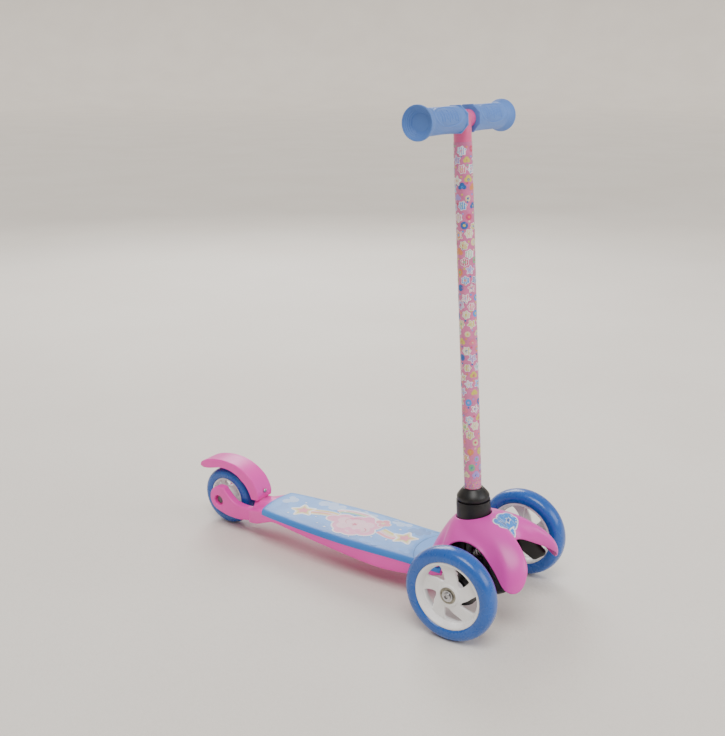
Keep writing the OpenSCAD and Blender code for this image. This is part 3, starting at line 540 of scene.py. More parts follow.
v, f = tyre(REAR_R, 29.5, 12.0)
add("rear_tyre_skin", rear_point(v), f, TYRE, "rear_wheel", ["rear_tyre"], sharp=60)
ring = [(26.6, -6.9), (26.6, 6.9), (29.4, 8.0), (29.8, 9.0), (29.5, 9.7), (28.8, 9.9), (27.6, 9.9),
        (26.8, 9.2), (26.4, 7.5)]
ring += [(r, -w) for r, w in ring[::-1]]
circle = np.array([polar(27.6, a) for a in range(0, 360, 5)])
centre = np.array([polar(12.2, a) for a in range(0, 360, 12)])
holes = [centre, *openings(15.6, 25.4, start=162, swept=False)]
web = plate(circle, holes, lambda x, y: 2.2, lambda x, y: -2.2, 0.7, 3.0)
hub = [(11.05, 11.6), (11.4, 12), (12.8, 12), (13.5, 11.3), (13.6, 2.5), (14.5, 1.6)]
hub += [(r, -w) for r, w in hub[::-1]] + hub[:1]
v, f = joined(lathe(ring, 160), web, lathe(hub, 96))
add("rear_rim_skin", rear_point(v), f, WHITE, "rear_wheel", ["rear_rim"])

# ---- deck

# half-width of the deck and height of its skirt's foot along y
DECK_HALF = [(46, 49), (80, 48.5), (120, 49), (165, 51), (205, 52), (250, 50.5), (295, 47.5),
             (335, 43.5), (355, 40.5), (372, 35.5), (392, 30)]
SKIRT_Z = [(46, 47), (60, 43), (80, 38), (105, 33), (135, 30.5), (165, 32), (205, 36), (250, 39.5),
           (295, 43), (335, 44.5), (355, 37), (372, 29), (392, 24)]
UNDER = DECK_Z - 2.6
WALL = 3.2


def arc(cx, cz, r, a0, a1, n):
    """Points of an arc in the x-z plane, angles in degrees."""
    return around(cx, cz, r, r, np.radians(np.linspace(a0, a1, n)))


PLATE_END = 357


def drop(y):
    """How far the deck's shoulders have sloped down at y, behind the plate."""
    return 8.9 * max(0, y - PLATE_END) / 35


def saddle(x, y):
    """Height of the deck's pink top: level in the middle, sloping down to the arms at the sides."""
    u = min(1, max(0, (abs(x) - 11) / 8))
    return UNDER - 0.1 - drop(y) * u * u * (3 - 2 * u)


def deck_section(y):
    """Half of the deck's wall at y, from the inner foot round the outer wall to the middle of its top."""
    w, z = at(DECK_HALF, y), at(SKIRT_Z, y)
    outer = [(w - WALL, UNDER - WALL - drop(y)), (w - WALL, z + 1.4), (w - 2.6, z + 0.4), (w - 1.5, z),
             (w - 0.6, z + 0.4), (w - 0.15, z + 1.4)]
    if y < PLATE_END:
        # the wall ends in a ledge below the edge of the blue plate
        top = 49.7
        corner = [(w, 49.9), (w - 0.4, 50.1), (w - 1.5, 50.1), (w - 2.9, 50.1), (w - 2.95, 52.5),
                  (w - 3.6, 53.6), (w - 4.9, 54.7), (w - 7.2, 55.2)]
    else:
        shoulder = 3 + 2 * (y - PLATE_END) / 35
        top = saddle(w, y) - shoulder
        corner = arc(w - shoulder, top, shoulder, 0, 90, 8)
    bulge = [(w, z + 1.4 + u * (top - z - 1.4)) for u in (0.25, 0.5, 0.75)]
    reach = corner[-1][0]
    over = [(reach * (1 - u), saddle(reach * (1 - u), y)) for u in np.linspace(0.1, 1, 12)]
    return outer + bulge + corner + over


def deck_ring(y):
    half = deck_section(y)
    x, z = half[0]
    ring = [(x, y, z) for x, z in half] + [(-x, y, z) for x, z in half[:-1][::-1]]
    return np.array(ring + [(-x, y, z), (x, y, z)])


stations = [46.0, 46.4, 47.2, 48.6] + list(np.arange(52, 356, 4.0)) + [356.2, 356.9, 357.1, 358.5]
stations += list(np.arange(361, 389, 3.0)) + [389.5, 391.2, 392]
rings = [deck_ring(y) for y in stations]
# round off the two ends
for k, s in ((0, 0.985), (1, 0.995), (-1, 0.965), (-2, 0.988)):
    rings[k][:, 0] *= s
    rings[k][:, 2] = UNDER + (rings[k][:, 2] - UNDER) * s - (1 - s) * 40
shell = strip(rings, ends=True)


def slab(low, high, r=0.5):
    """Block with eased edges."""
    (x0, y0, z0), (x1, y1, z1) = low, high
    quad = np.array([(x0 + r, y0), (x1 - r, y0), (x1, y0 + r), (x1, y1 - r), (x1 - r, y1), (x0 + r, y1),
                     (x0, y1 - r), (x0, y0 + r)])
    rings = []
    for z, d in ((z0, r), (z0 + r, 0), (z1 - r, 0), (z1, r)):
        ring = inset(quad, d) if d else quad
        rings.append(np.column_stack([ring, np.full(len(ring), z)]))
    return strip(rings, ends=True)


ribs = [slab((s * 22 - 1.2, 50, 45), (s * 22 + 1.2, PLATE_END, UNDER - 1)) for s in (-1, 1)]
for y in range(96, 341, 32):
    w = at(DECK_HALF, y) - 3
    ribs.append(slab((-w, y - 1.2, 46), (w, y + 1.2, UNDER - 2)))
ribs.append(slab((-41.9, 47.2, 47.2), (41.9, 68, UNDER - 0.2)))
ribs.append(slab((-27.5, 386, 27.5), (27.5, 390.5, 45.5)))

# rear fork: upper and lower edge of an arm, joined by a round boss over the axle
ARM_TOP = [(354, 45.4), (366, 45.8), (379, 46), (392, 46.3), (407, 46.6), (418, 48.4), (426, 52.2),
           (434, 59.4), (440, 65.8)]
ARM_LOW = [(458, 30), (447, 26.5), (433, 23.7), (414, 23.1), (400, 25.3), (386, 27.8), (372, 31.5),
           (354, 36)]
boss = around(449, 48.5, 20.5, 20.5, np.radians(range(114, -66, -8)))
outline = np.vstack([spline(ARM_TOP, 3), boss, spline(ARM_LOW, 3)])
recess = around(REAR_Y, REAR_Z, 8, 8, np.radians(range(0, 360, 12)))


def fork_arm(side):
    body = plate(outline, [np.array(recess)], lambda y, z: 29.4, lambda y, z: 20.5, 2.2, 5)
    inner = plate(outline, [], lambda y, z: 23.0, lambda y, z: 17.4, 1.2, 5)
    v, f = joined(body, inner)
    return np.stack([side * v[:, 2], v[:, 0], v[:, 1]], 1), f


# the brake's hinge, in y and z, and the two lugs that hold its pin
HINGE = (391, 65)


def at_hinge(v):
    """Points drawn round z, laid along the brake's hinge."""
    return np.stack([v[:, 2], HINGE[0] + v[:, 0], HINGE[1] + v[:, 1]], 1)


lug = lathe([(0.01, 8), (4.0, 8), (4.2, 8.3), (4.2, 11.7), (4.0, 12), (0.01, 12)], 40)
lugs = []
for s in (-1, 1):
    lugs.append((at_hinge(lug[0]) * [s, 1, 1], lug[1]))
    lugs.append(slab((min(s * 8, s * 12), 387.5, 54), (max(s * 8, s * 12), 391.8, 65), 0.4))
v, f = joined(shell, *ribs, fork_arm(1), fork_arm(-1), *lugs)
moulded = ["deck_base", "deck_walls", "rear_fork"]
add("deck_base_skin", v, f, PINK, "chassis", moulded, sharp=40)

# blue plate: flat on top, rounded down at both sides, with a shallow arc at its rear end
FLAT = 7.0


PLATE_FRONT, PLATE_REAR, SAG, SAG_X = 48, 364, 7.8, 42


def plate_y(s, x):
    return PLATE_FRONT + s * (PLATE_REAR - SAG * (x / SAG_X) ** 2 - PLATE_FRONT)


def plate_row(s):
    w = at(DECK_HALF, PLATE_FRONT + s * (PLATE_END - PLATE_FRONT))
    half = [(w, 50.2), (w, 50.9)] + arc(w - FLAT, DECK_Z - FLAT, FLAT, 0, 90, 14)
    half += [((w - FLAT) * u, DECK_Z) for u in (0.85, 0.7, 0.5, 0.3, 0.15, 0)]
    top = [(x, plate_y(s, x), z) for x, z in half] + [(-x, plate_y(s, x), z) for x, z in half[:-1][::-1]]
    low = [(x * 0.96, plate_y(s, x), max(50.2, z - 2.2)) for x, z in half]
    low = low + [(-x, y, z) for x, y, z in low[:-1][::-1]]
    return top + low[::-1]


rows = [np.array(plate_row(s)) for s in np.linspace(0, 1, 60)]
lip = rows[-1].copy()
lip[:, 1] += 0.5
lip[:, 2] -= np.where(lip[:, 2] > 55, 0.6, 0)
rows[-1][:, 1] -= 0.3
rows.append(lip)
v, f = strip(rows, ends=True)
add("deck_plate_skin", v, f, BLUE, "chassis", ["deck_plate"], sharp=50)


def side_z(x, y):
    """Height of the blue plate's surface."""
    w = at(DECK_HALF, min(y, PLATE_END))
    over = abs(x) - (w - FLAT)
    return DECK_Z if over <= 0 else DECK_Z - FLAT + math.sqrt(max(0, FLAT ** 2 - over ** 2))


def panel_front(x):
    """Front edge of the printed panel, an arc under the cover."""
    return 107 - 15 * (x / SAG_X) ** 2


# printed panel: a thin film with a feathered edge
front = [(x, panel_front(x)) for x in np.linspace(-43.5, 43.5, 31)]
right = [(at(DECK_HALF, y) - 4.6, y) for y in np.arange(96, 350, 6.0)]
back = [(x, PLATE_REAR - 2.5 - SAG * (x / SAG_X) ** 2) for x in np.linspace(36.5, -36.5, 25)]
left = [(-x, y) for x, y in right[::-1]]
panel = np.array(front + right + back + left)
flat, tris, rims = fill(panel, (), 5.0)
rim = set(rims[0])
v = [(x, y, side_z(x, y) + (0.02 if i in rim else 0.36)) for i, (x, y) in enumerate(flat)]
add("deck_print_skin", v, tris, PANEL, "chassis", ["deck_print"], sharp=60)

# ---- printed shapes


def star(cx, cy, r, turn=0, inner=0.5, soft=2, points=5):
    loop = []
    for k in range(2 * points):
        q = r if k % 2 == 0 else r * inner
        loop += around(cx, cy, q, q, [math.radians(turn + 180 * k / points)])
    loop = np.array(loop)
    if soft:
        mids = []
        for a, b in zip(loop, np.roll(loop, -1, axis=0)):
            mids += [a, a + (b - a) * 0.33, a + (b - a) * 0.66]
        loop = rounded(np.array(mids), soft)
    return loop


def blob(centres, n=72):
    """Outline round a cluster of circles, such as a cloud."""
    centres = np.array(centres, float)
    mid = centres[:, :2].mean(0)
    loop = []
    for a in np.linspace(0, 2 * math.pi, n, endpoint=False):
        d = np.array([math.cos(a), math.sin(a)])
        best = 0.5
        for cx, cy, r in centres:
            o = np.array([cx, cy]) - mid
            b = float(o @ d)
            q = r * r - float(o @ o) + b * b
            if q > 0:
                best = max(best, b + math.sqrt(q))
        loop.append(mid + best * d)
    return np.array(loop)


def ribbon(line, half):
    """Band of the given half-width along a line of points."""
    line = np.array(line, float)
    t = np.gradient(line, axis=0)
    t /= np.linalg.norm(t, axis=1, keepdims=True)
    normal = np.stack([-t[:, 1], t[:, 0]], 1)
    half = np.array(half, float).reshape(-1, 1) if np.ndim(half) else half
    return np.vstack([line + normal * half, (line - normal * half)[::-1]])


def printed(name, shapes, place, body, replaces=(), step=3.0):
    """Shapes [(loop, ink)] drawn in order, each a little above the one before, as one piece."""
    inks = sorted({c for _, c in shapes})
    verts, faces, index, base = [], [], [], 0
    for level, (loop, colour) in enumerate(shapes):
        loop = np.array(loop, float)
        loop = loop if area_of(loop) > 0 else loop[::-1]
        flat, tris, _ = fill(loop, (), step)
        verts.append(np.array([place(x, y, level) for x, y in flat]))
        faces += [[i + base for i in t] for t in tris]
        index += [inks.index(colour)] * len(tris)
        base += len(flat)
    piece = add(name, np.vstack(verts), faces, [INK[c] for c in inks], body, replaces, index, sharp=180)
    return piece


def on_deck(x, y, level):
    return (x, y, side_z(x, y) + 0.38 + 0.006 * level)


art = []


def outlined(loop, line, ink_line, ink_fill):
    loop = loop if area_of(loop) > 0 else loop[::-1]
    art.append((inset(loop, -line), ink_line))
    art.append((loop, ink_fill))


def trail(points, width, inks):
    """Rainbow of side-by-side bands."""
    line = spline(points, 8)
    t = np.gradient(line, axis=0)
    t /= np.linalg.norm(t, axis=1, keepdims=True)
    normal = np.stack([-t[:, 1], t[:, 0]], 1)
    band = width / len(inks)
    art.append((ribbon(line, width / 2 + 1.2), "white"))
    for k, colour in enumerate(inks):
        shift = (k - (len(inks) - 1) / 2) * band
        art.append((ribbon(line + normal * shift, band / 2 + 0.03), colour))


# pale clouds along the far side and behind the motifs
for centres, colour in (
    ([(30, 292, 9), (36, 278, 7), (27, 272, 9), (33, 262, 7)], "pale"),
    ([(34, 236, 6), (38, 224, 5), (31, 219, 8), (36, 205, 5)], "pale"),
    ([(36, 168, 6), (33, 158, 7), (37, 147, 5)], "pale"),
    ([(26, 133, 8), (34, 124, 6), (22, 121, 6), (30, 113, 6)], "shade"),
    ([(-22, 340, 6), (-14, 336, 8), (-5, 341, 6)], "sky"),
    ([(-38, 178, 5), (-34, 168, 7), (-38, 157, 6), (-33, 148, 5)], "sky"),
    ([(-34, 122, 5), (-30, 115, 6), (-35, 107, 4)], "sky"),
    ([(6, 345, 7), (14, 338, 8), (20, 345, 5)], "pale"),
):
    art.append((blob(centres), colour))
for y0 in (320, 250, 190, 126):
    path = [(40 - 3 * math.sin(u * 3), y0 - 26 * u) for u in np.linspace(0, 1, 12)]
    art.append((ribbon(path, np.linspace(0.2, 0.9, 12)), "shade"))
trail([(-5, 296), (-1, 284), (4, 270), (5, 256), (0, 244)], 15, ["cream", "orange", "blush", "yellow"])
trail([(0, 172), (-4, 160), (-6, 150), (-3, 140)], 17, ["pink", "blush", "cream", "yellow"])
outlined(star(-7, 304, 19, 100), 2.4, "white", "cream")
art.append((star(-7, 304, 14.5, 100), "yellow"))
art.append((star(-7, 304, 10.5, 100, 0.55), "pink"))
outlined(star(-1, 131, 18.5, 80), 2.4, "white", "cream")
art.append((star(-1, 131, 14.2, 80), "yellow"))
art.append((star(-1, 131, 10.2, 80, 0.55), "pink"))
# pink cloud in the middle with a rainbow over it
def bow(cx, cy, rx, ry, start, end, n):
    """Curve from its top toward +x, angles in radians."""
    return around(cx, cy, rx, ry, math.pi / 2 - np.linspace(start, end, n))


art.append((ribbon(bow(14, 224, 14, 34, 0.25, 2.85, 30), 7.5), "white"))
for k, colour in enumerate(("rose", "cream", "green", "sky")):
    art.append((ribbon(bow(14, 224, 17 - 3 * k, 37 - 3 * k, 0.25, 2.85, 30), 1.55), colour))
big = [(-14, 226, 17), (-22, 208, 15), (-14, 190, 14), (2, 236, 15), (4, 214, 18), (8, 192, 15),
       (-30, 222, 9), (-4, 252, 9), (20, 205, 9)]
outlined(blob(big, 120), 2.2, "white", "rose")
pale = [(-14, 226, 11), (-20, 208, 10), (-12, 193, 9), (0, 234, 10), (2, 212, 12), (4, 195, 9)]
art.append((blob(pale, 90), "blush"))
art.append((blob([(-20, 214, 5), (-24, 205, 5), (-18, 199, 5)], 48), "rose"))
art.append((ribbon(bow(2, 214, 12, 18, -0.9, 1.6, 22), np.linspace(0.3, 1.1, 22)), "deep"))
art.append((ribbon(bow(-14, 205, 9, 16, 2.2, 4.4, 22), np.linspace(1.0, 0.3, 22)), "deep"))
art.append((star(-4, 214, 5.5, 30), "deep"))
outlined(blob([(22, 188, 5.5), (27, 180, 5.5), (21, 174, 5), (15, 180, 5)], 60), 1.2, "white", "pink")
art.append((star(21, 181, 4.2, 10), "cream"))
for x, y, r in ((-34, 246, 2.6), (-30, 262, 1.8), (24, 250, 2.4), (-26, 318, 2.2), (16, 316, 2.4),
                (-20, 150, 2.2), (18, 150, 2.6), (-40, 200, 1.6), (-24, 172, 2.0), (-14, 276, 1.8)):
    art.append((star(x, y, r, 15 * r, 0.45, 1), "white"))
printed("deck_art", art, on_deck, "chassis", step=5.0)

seam = [(x, panel_front(x) - 0.6) for x in np.linspace(-46.5, 46.5, 64)]
loop = ribbon(seam, 0.32)
flat, tris, _ = fill(loop, (), 6.0)
v = [(x, y, side_z(x, y) + 0.05) for x, y in flat]
add("deck_seam", v, tris, SEAM, "chassis", sharp=180)

# ---- front cover

FOOT = DECK_Z + 0.2
# ribs of the cover: angle at the collar hole, end point, and the curve's handles at both ends
RIBS = [
    (0, (0, -38.6, 103), (0, -14, 0), (0, 6, 12)),
    (14, (24, -56, 91.5), (3, -24, 2), (-4, -3, 18)),
    (28, (46, -73.5, 75.5), (7, -35, 3), (-9, -8, 30)),
    (40, (60.5, -69.5, 62.5), (9, -37, 2), (-11, -14, 42)),
    (52, (68, -55, 66), (14, -30, 0), (-8, -10, 36)),
    (66, (61, -35, 85), (16, -20, -3), (-8, -4, 20)),
    (82, (53, -11, 103), (14, -8, -6), (-8, 0, 6)),
    (100, (49, 12, 107), (11, -2, -8), (-8, 2, 4)),
    (116, (49, 33, 98), (12, 2, -8), (-5, 0, 8)),
    (130, (50, 46, 74), (12, 6, -8), (-2, -1, 16)),
    (142, (49.5, 53, FOOT), (11, 9, -8), (-3, -4, 20)),
    (154, (38, 70, FOOT), (7, 11, -9), (-4, -6, 18)),
    (167, (19, 81, FOOT), (3, 12, -10), (-2, -6, 16)),
    (180, (0, 84, FOOT), (0, 12, -10), (0, -6, 16)),
]


def rib_at(t, column):
    def pick(i):
        i, flip = (-i, -1) if i < 0 else (i, 1)
        if i > len(RIBS) - 1:
            i, flip = 2 * (len(RIBS) - 1) - i, -1
        value = RIBS[i][column]
        if column == 0:
            return float(value) if flip > 0 else (-value if i < 4 else 360 - value)
        return np.array([flip * value[0], value[1], value[2]], float)

    i = min(int(t), len(RIBS) - 2)
    return catmull(pick(i - 1), pick(i), pick(i + 1), pick(i + 2), t - i)


def cover_rib(t, steps):
    a = math.radians(rib_at(t, 0))
    e, h0, h1 = rib_at(t, 1), rib_at(t, 2), rib_at(t, 3)
    rim = np.array([23.6 * math.sin(a), 25.5 - 23.6 * math.cos(a), 124.5 + 5 * math.cos(a)])
    u = np.linspace(0, 1, steps + 1)[:, None]
    start = (1 - u) ** 3 * rim + 3 * u * (1 - u) ** 2 * (rim + h0)
    return start + 3 * u * u * (1 - u) * (e + h1) + u ** 3 * e


PER, STEPS = 8, 30
half = [cover_rib(k / PER, STEPS) for k in range((len(RIBS) - 1) * PER + 1)]
columns = half + [r * [-1, 1, 1] for r in half[-2:0:-1]]
skin = np.array(columns)
across = np.roll(skin, -1, axis=0) - np.roll(skin, 1, axis=0)
down = np.gradient(skin, axis=1)
normal = np.cross(down, across)
normal /= np.linalg.norm(normal, axis=2, keepdims=True)
THICK = 3
inner = skin - THICK * normal
loops = []
for outside, under in zip(skin, inner):
    start, end = outside[0], outside[-1]
    d0 = outside[0] - outside[1]
    d1 = outside[-1] - outside[-2]
    d0, d1 = d0 / np.linalg.norm(d0), d1 / np.linalg.norm(d1)
    ring = list(outside[1:-1])
    for d, o, i, wall in (
        (d1, outside[-1], under[-1], under[1:-1][::-1]),
        (d0, under[0], outside[0], []),
    ):
        m, a, r = (o + i) / 2, (o - i) / 2, THICK / 2
        ring += [m + a * math.cos(q) + r * d * (math.sin(q) - 1) for q in np.linspace(0, math.pi, 9)]
        ring += list(wall)
    ring = np.array(ring)
    ring[:, 2] = np.maximum(ring[:, 2], FOOT)
    loops.append(ring)
v, f = strip(loops + [loops[0]])
cover = add("front_cover_skin", v, f, COVER, "chassis", ["front_cover"], sharp=70)
tree = BVHTree.FromPolygons([tuple(p) for p in v], f)


def on_cover(x, y, level):
    hit, n, _, _ = tree.ray_cast(Vector((x, -21 + 0.82 * (y + 23.5), 220)), Vector((0, 0, -1)))
    n = n if n.z > 0 else -n
    return tuple(hit + n * (0.12 + 0.02 * level))


cloud = [(-10, -18, 8), (3, -15, 7.5), (12, -20, 7), (9.5, -30, 7.5), (-3, -33, 8), (-13, -27.5, 6.5)]
cloud = blob(cloud, 90)
wave = [(-7 + 14 * u, -35.5 + 3 * math.sin(u * 3)) for u in np.linspace(0, 1, 12)]
badge = [
    (inset(cloud, -1.7), "white"),
    (cloud, "sky"),
    (star(-4, -22.5, 8.6, 70), "white"),
    (star(-4, -22.5, 7.0, 70), "blue"),
    (star(7, -24, 5.0, 20, soft=1), "white"),
    (star(7, -24, 3.6, 20, soft=1), "blue"),
    (star(-9, -30.5, 3.4, 0, soft=1), "blue"),
    (ribbon(wave, 0.8), "white"),
]
printed("cover_badge", badge, on_cover, "chassis", step=2.0)

# ---- collar, stem and handlebar

collar = [(11.2, 145.9), (20.9, 145.9), (21.4, 146.4), (21.6, 147.4), (21.6, 150.9), (21.2, 152.1),
          (18.5, 155.9), (15.8, 158.9), (14.2, 160.5), (13.4, 161.4), (13.2, 161.9), (11.2, 162.0),
          (11.2, 145.9)]
v, f = lathe(collar, 128)
add("collar_skin", on_stem(v), f, BLACK, "chassis", ["collar_ring"], sharp=35)
socket = [(19.6, 144.6), (21.6, 144.6), (22.3, 144.3), (22.58, 143.6), (22.58, 113), (22.5, 112.5),
          (19.6, 112.5), (19.6, 144.6)]
v, f = lathe(socket, 128)
add("socket_skin", on_stem(v), f, BLACK, "chassis", sharp=35)

STEM_TOP = BAR_Z / math.cos(LEAN)
SLEEVE = (162.3, STEM_TOP - 26.8)
FILM_R = 11.4
film = [(11.12, SLEEVE[0]), (FILM_R, SLEEVE[0]), (FILM_R, SLEEVE[1]), (11.12, SLEEVE[1]), (11.12, SLEEVE[0])]
v, f = lathe(film, 96)
add("sleeve_skin", on_stem(v), f, FILM, "chassis", ["printed_sleeve"], sharp=35)


def on_tube(x, y, level):
    a, r = x / FILM_R, FILM_R + 0.07 + 0.01 * (level % 3)
    return tuple(on_stem([(r * math.sin(a), -r * math.cos(a), y)])[0])


rng = random.Random(7)
confetti = []
palette = ["yellow", "blue", "green", "pink", "yellow", "sky", "orange", "lilac", "deep", "cream", "blue"]


def dot(x, y, r, n=18):
    return np.array(around(x, y, r, r, np.linspace(0, 2 * math.pi, n, endpoint=False)))


def any_ink():
    return palette[rng.randrange(len(palette))]


for _ in range(260):
    # glitter in the lowest part, thinning out upward
    y = SLEEVE[0] + 1 + 17 * rng.random() ** 1.5
    confetti.append((dot(rng.uniform(-35, 35), y, rng.uniform(0.35, 0.8), 6), any_ink()))
height, row = SLEEVE[0] + 19, 0
while height < SLEEVE[1] - 6:
    for k in range(5):
        x = (k + 0.5 * (row % 2)) * 71.6 / 5 - 35.8 + rng.uniform(-1.2, 1.2)
        y = height + rng.uniform(-2, 2)
        size = rng.uniform(4.6, 6.2)
        turn = rng.uniform(0, 70)
        colour = any_ink()
        kind = rng.randrange(5)
        if kind == 0:
            loop = star(x, y, size + 0.8, turn, 0.5, 1)
        elif kind == 1:
            corners = [math.radians(turn / 5 + a) for a in (45, 135, 225, 315)]
            loop = rounded(around(x, y, size * 0.95, size * 1.1, corners), 3)
        elif kind == 2:
            loop = star(x, y, size, turn, 0.72, 2, 6)
        elif kind == 3:
            off, r = size * 0.45, size * 0.5
            loop = blob([(x - off, y, r), (x + off, y, r), (x, y + off, size * 0.55)], 30)
        else:
            loop = dot(x, y, size * 0.8)
        loop = loop if area_of(loop) > 0 else loop[::-1]
        if kind in (0, 2):
            confetti.append((inset(loop, -0.7), "white"))
        confetti.append((loop, colour))
        confetti.append((dot(x, y, size * 0.3, 12), any_ink()))
        confetti.append((dot(x + 6.4, y + 4.6, 1.3, 10), any_ink()))
    height += 11.2
    row += 1
printed("stem_art", confetti, on_tube, "chassis", step=2.2)


def grip(side):
    """Rubber grip from its cupped outer end to the octagon at its inner end."""
    cup = [(0.01, 8.6), (9.6, 8.6), (11.2, 8.5), (11.6, 8.1), (12.0, 7.3), (13.2, 7.0), (13.6, 6.6),
           (13.9, 5.7), (15.0, 5.4), (15.4, 5.0), (15.7, 4.1), (16.7, 3.8), (17.1, 3.4), (17.4, 2.5),
           (18.2, 2.2), (18.5, 1.8), (18.7, 0.7), (19.0, 0.2), (19.6, 0.02), (20.1, 0.3), (20.3, 0.9),
           (20.33, 2.7), (20.15, 3.2), (19.75, 3.45), (19.6, 3.9), (19.6, 5.0), (19.45, 5.5),
           (19.05, 5.75), (18.9, 6.2), (18.9, 7.5), (18.7, 8.0), (18.25, 8.25), (18.1, 8.8), (18.0, 10.0),
           (17.5, 10.8), (16.8, 11.6), (16.2, 12.8), (15.9, 14.2), (15.75, 16)]
    end = BAR_HALF - 14
    body = [(15.7 + 0.12 * math.sin(u * 9), 16 + (end - 3.6 - 16) * u) for u in np.linspace(0.01, 1, 130)]
    tail = [(15.9, end - 3.4), (17.4, end - 3.2), (18, end - 2.7), (18, end - 0.6), (17.5, end - 0.1),
            (16.9, end), (11.2, end), (11.2, 12), (0.01, 12)]
    profile = cup + body + tail
    n = 192
    rings = []
    for r, s in profile:
        a = np.arange(n) * 2 * math.pi / n
        radius = np.full(n, float(r))
        if s > 15.9 and s < end - 3.5 and r > 15:
            # oval panel with a raised edge and plain ribs, facing forward and up
            lift = np.abs((a - math.radians(22) + math.pi) % (2 * math.pi) - math.pi) * 15.7
            from_mid = s - 50
            q = np.hypot(from_mid / 33, lift / 13.2)
            edge = np.exp(-((q - 1) / 0.055) ** 2)
            groove = np.exp(-((q - 0.88) / 0.05) ** 2)
            radius += 0.85 * edge - 0.45 * groove
            rib = 0.5 + 0.5 * np.cos(from_mid * 2 * math.pi / 6.2)
            tall = 6.4 + 2.0 * math.cos(from_mid * 0.4)
            mask = float(abs(from_mid) < 20)
            radius += 0.8 * mask * (rib > 0.5) * np.clip((tall - lift) / 1.0, 0, 1)
            # fine ribs round the rest of the grip
            rest = np.clip((q - 1.12) / 0.1, 0, 1)
            radius += 0.16 * rest * np.cos(s * 2 * math.pi / 3.4)
        if s > end - 3.3 and r > 16:
            corner = np.abs(((a + math.radians(22.5)) % math.radians(45)) - math.radians(22.5))
            radius = np.maximum(r / np.cos(corner) * math.cos(math.radians(22.5)), 16.4)
        # angle 0 looks forward, 90 degrees up
        x = np.full(n, side * (BAR_HALF - s))
        rings.append(np.stack([x, -radius * np.cos(a), radius * np.sin(a)], 1))
    v, f = strip(rings)
    return on_stem(v + [0, 0, STEM_TOP]), f


for side, name in ((1, "left_grip"), (-1, "right_grip")):
    v, f = grip(side)
    add(name + "_skin", v, f, GRIP, "chassis", [name], sharp=32)

# ---- brake fender

# the fender's middle line and its side edge, point for point, in y and z
CROWN = [(384, 57), (383, 63), (384, 70), (387.5, 78), (393, 86), (401, 93), (413, 100), (429, 105.5),
         (446, 107.5), (462, 107), (478, 104), (491, 99.5), (499, 94), (502, 88)]
EDGE = [(396, 56.5), (397.5, 60), (399.5, 64.5), (402, 69), (405, 73.5), (409, 78), (415, 82.5),
        (425, 89.5), (441, 94.5), (456, 94.8), (470, 91.5), (482, 88.5), (491, 87), (495, 85.5)]
crown, edge = spline(CROWN, 8), spline(EDGE, 8)
tangent = np.gradient(crown, axis=0)
tangent /= np.linalg.norm(tangent, axis=1, keepdims=True)
out_of = np.stack([-tangent[:, 1], tangent[:, 0]], 1)
length = np.concatenate([[0], np.cumsum(np.linalg.norm(np.diff(crown, axis=0), axis=1))])
total = length[-1]


def fender_row(i, depth):
    n = len(CROWN) - 1
    t = i / 8
    taper = 3.5 * ((t - n + 3) / 3) ** 2 if t > n - 3 else 0
    w = 17 - taper - depth
    along = total - length[i]
    groove = 0.55 * (0.5 + 0.5 * math.cos(2 * math.pi * along / 4.2)) ** 2 if 13 < along < 46 else 0
    c = crown[i] - depth * out_of[i]
    e = edge[i]
    d = c - e
    row = []
    for k in range(24, -25, -1):
        u = abs(k) / 24
        side = min(1, u * 1.45)
        g = max(0, (u - 0.5) / 0.5) ** 1.6
        x = math.copysign(w * math.sin(math.pi / 2 * side), k)
        flat = math.exp(-(x / 10.5) ** 8)
        cut = groove * flat * (1 if depth < 1 else 0)
        p = c - d * g - out_of[i] * cut
        row.append((x, p[0], p[1]))
    return row


rings = []
for i in range(len(crown)):
    top = fender_row(i, 0)
    low = fender_row(i, 3)
    # round the two lower edges
    a, b = np.array(top[-1]), np.array(low[-1])
    bulge = [(a + b) / 2 + (a - b) / 2 * math.cos(q) for q in (math.pi / 3, 2 * math.pi / 3)]
    c, d = np.array(low[0]), np.array(top[0])
    back = [(c + d) / 2 + (c - d) / 2 * math.cos(q) for q in (math.pi / 3, 2 * math.pi / 3)]
    rings.append(np.array(top + [tuple(p) for p in bulge] + low[::-1] + [tuple(p) for p in back]))
body = strip(rings, ends=True)
barrel = lathe([(2.6, -7.6), (3.9, -7.6), (4.2, -7.3), (4.2, 7.3), (3.9, 7.6), (2.6, 7.6), (2.6, -7.6)], 48)

v, f = joined(body, (at_hinge(barrel[0]), barrel[1]), slab((-7.6, 385, 62), (7.6, 388, 70)))
add("brake_fender_skin", v, f, PINK, "brake", ["brake_fender"], sharp=42)
v, f = lathe([(0.01, -13.4), (2.2, -13.4), (2.5, -13.1), (2.5, 13.1), (2.2, 13.4), (0.01, 13.4)], 48)
add("brake_pin_skin", at_hinge(v), f, STEEL, "chassis", ["brake_pin"])
# dome head of the screw on the front of the fender, with a cross recess
cross = []
for k in range(4):
    c, n = np.array(polar(1, 90 * k)), np.array(polar(1, 90 * k + 90))
    cross += [2.2 * c - 0.45 * n, 2.2 * c + 0.45 * n, 0.45 * c + 0.45 * n]
head = plate(np.array([polar(3.65, a) for a in range(0, 360, 9)]), [np.array(cross)],
             lambda x, y: 2.3 - 0.11 * (x * x + y * y), lambda x, y: 0.0, 0.3, 0.9, 3)
v, f = joined(head, lathe([(0.01, 1.0), (3, 1.0), (3, 0.2), (0.01, 0.2)], 24))
v = np.stack([v[:, 0], 383.0 - v[:, 2], 68 + v[:, 1]], 1)
add("brake_screw_skin", v, f, STEEL, "brake", ["brake_screw"])

# ---- springs and hardware

parts = [coil(s * 9.4, s * 41.6, 6.5, 9.4, 1.1, (-5, 88)) for s in (-1, 1)]
v, f = joined(*parts)
add("centring_springs_skin", v, f, SPRING, "chassis", ["centring_springs"], sharp=60)

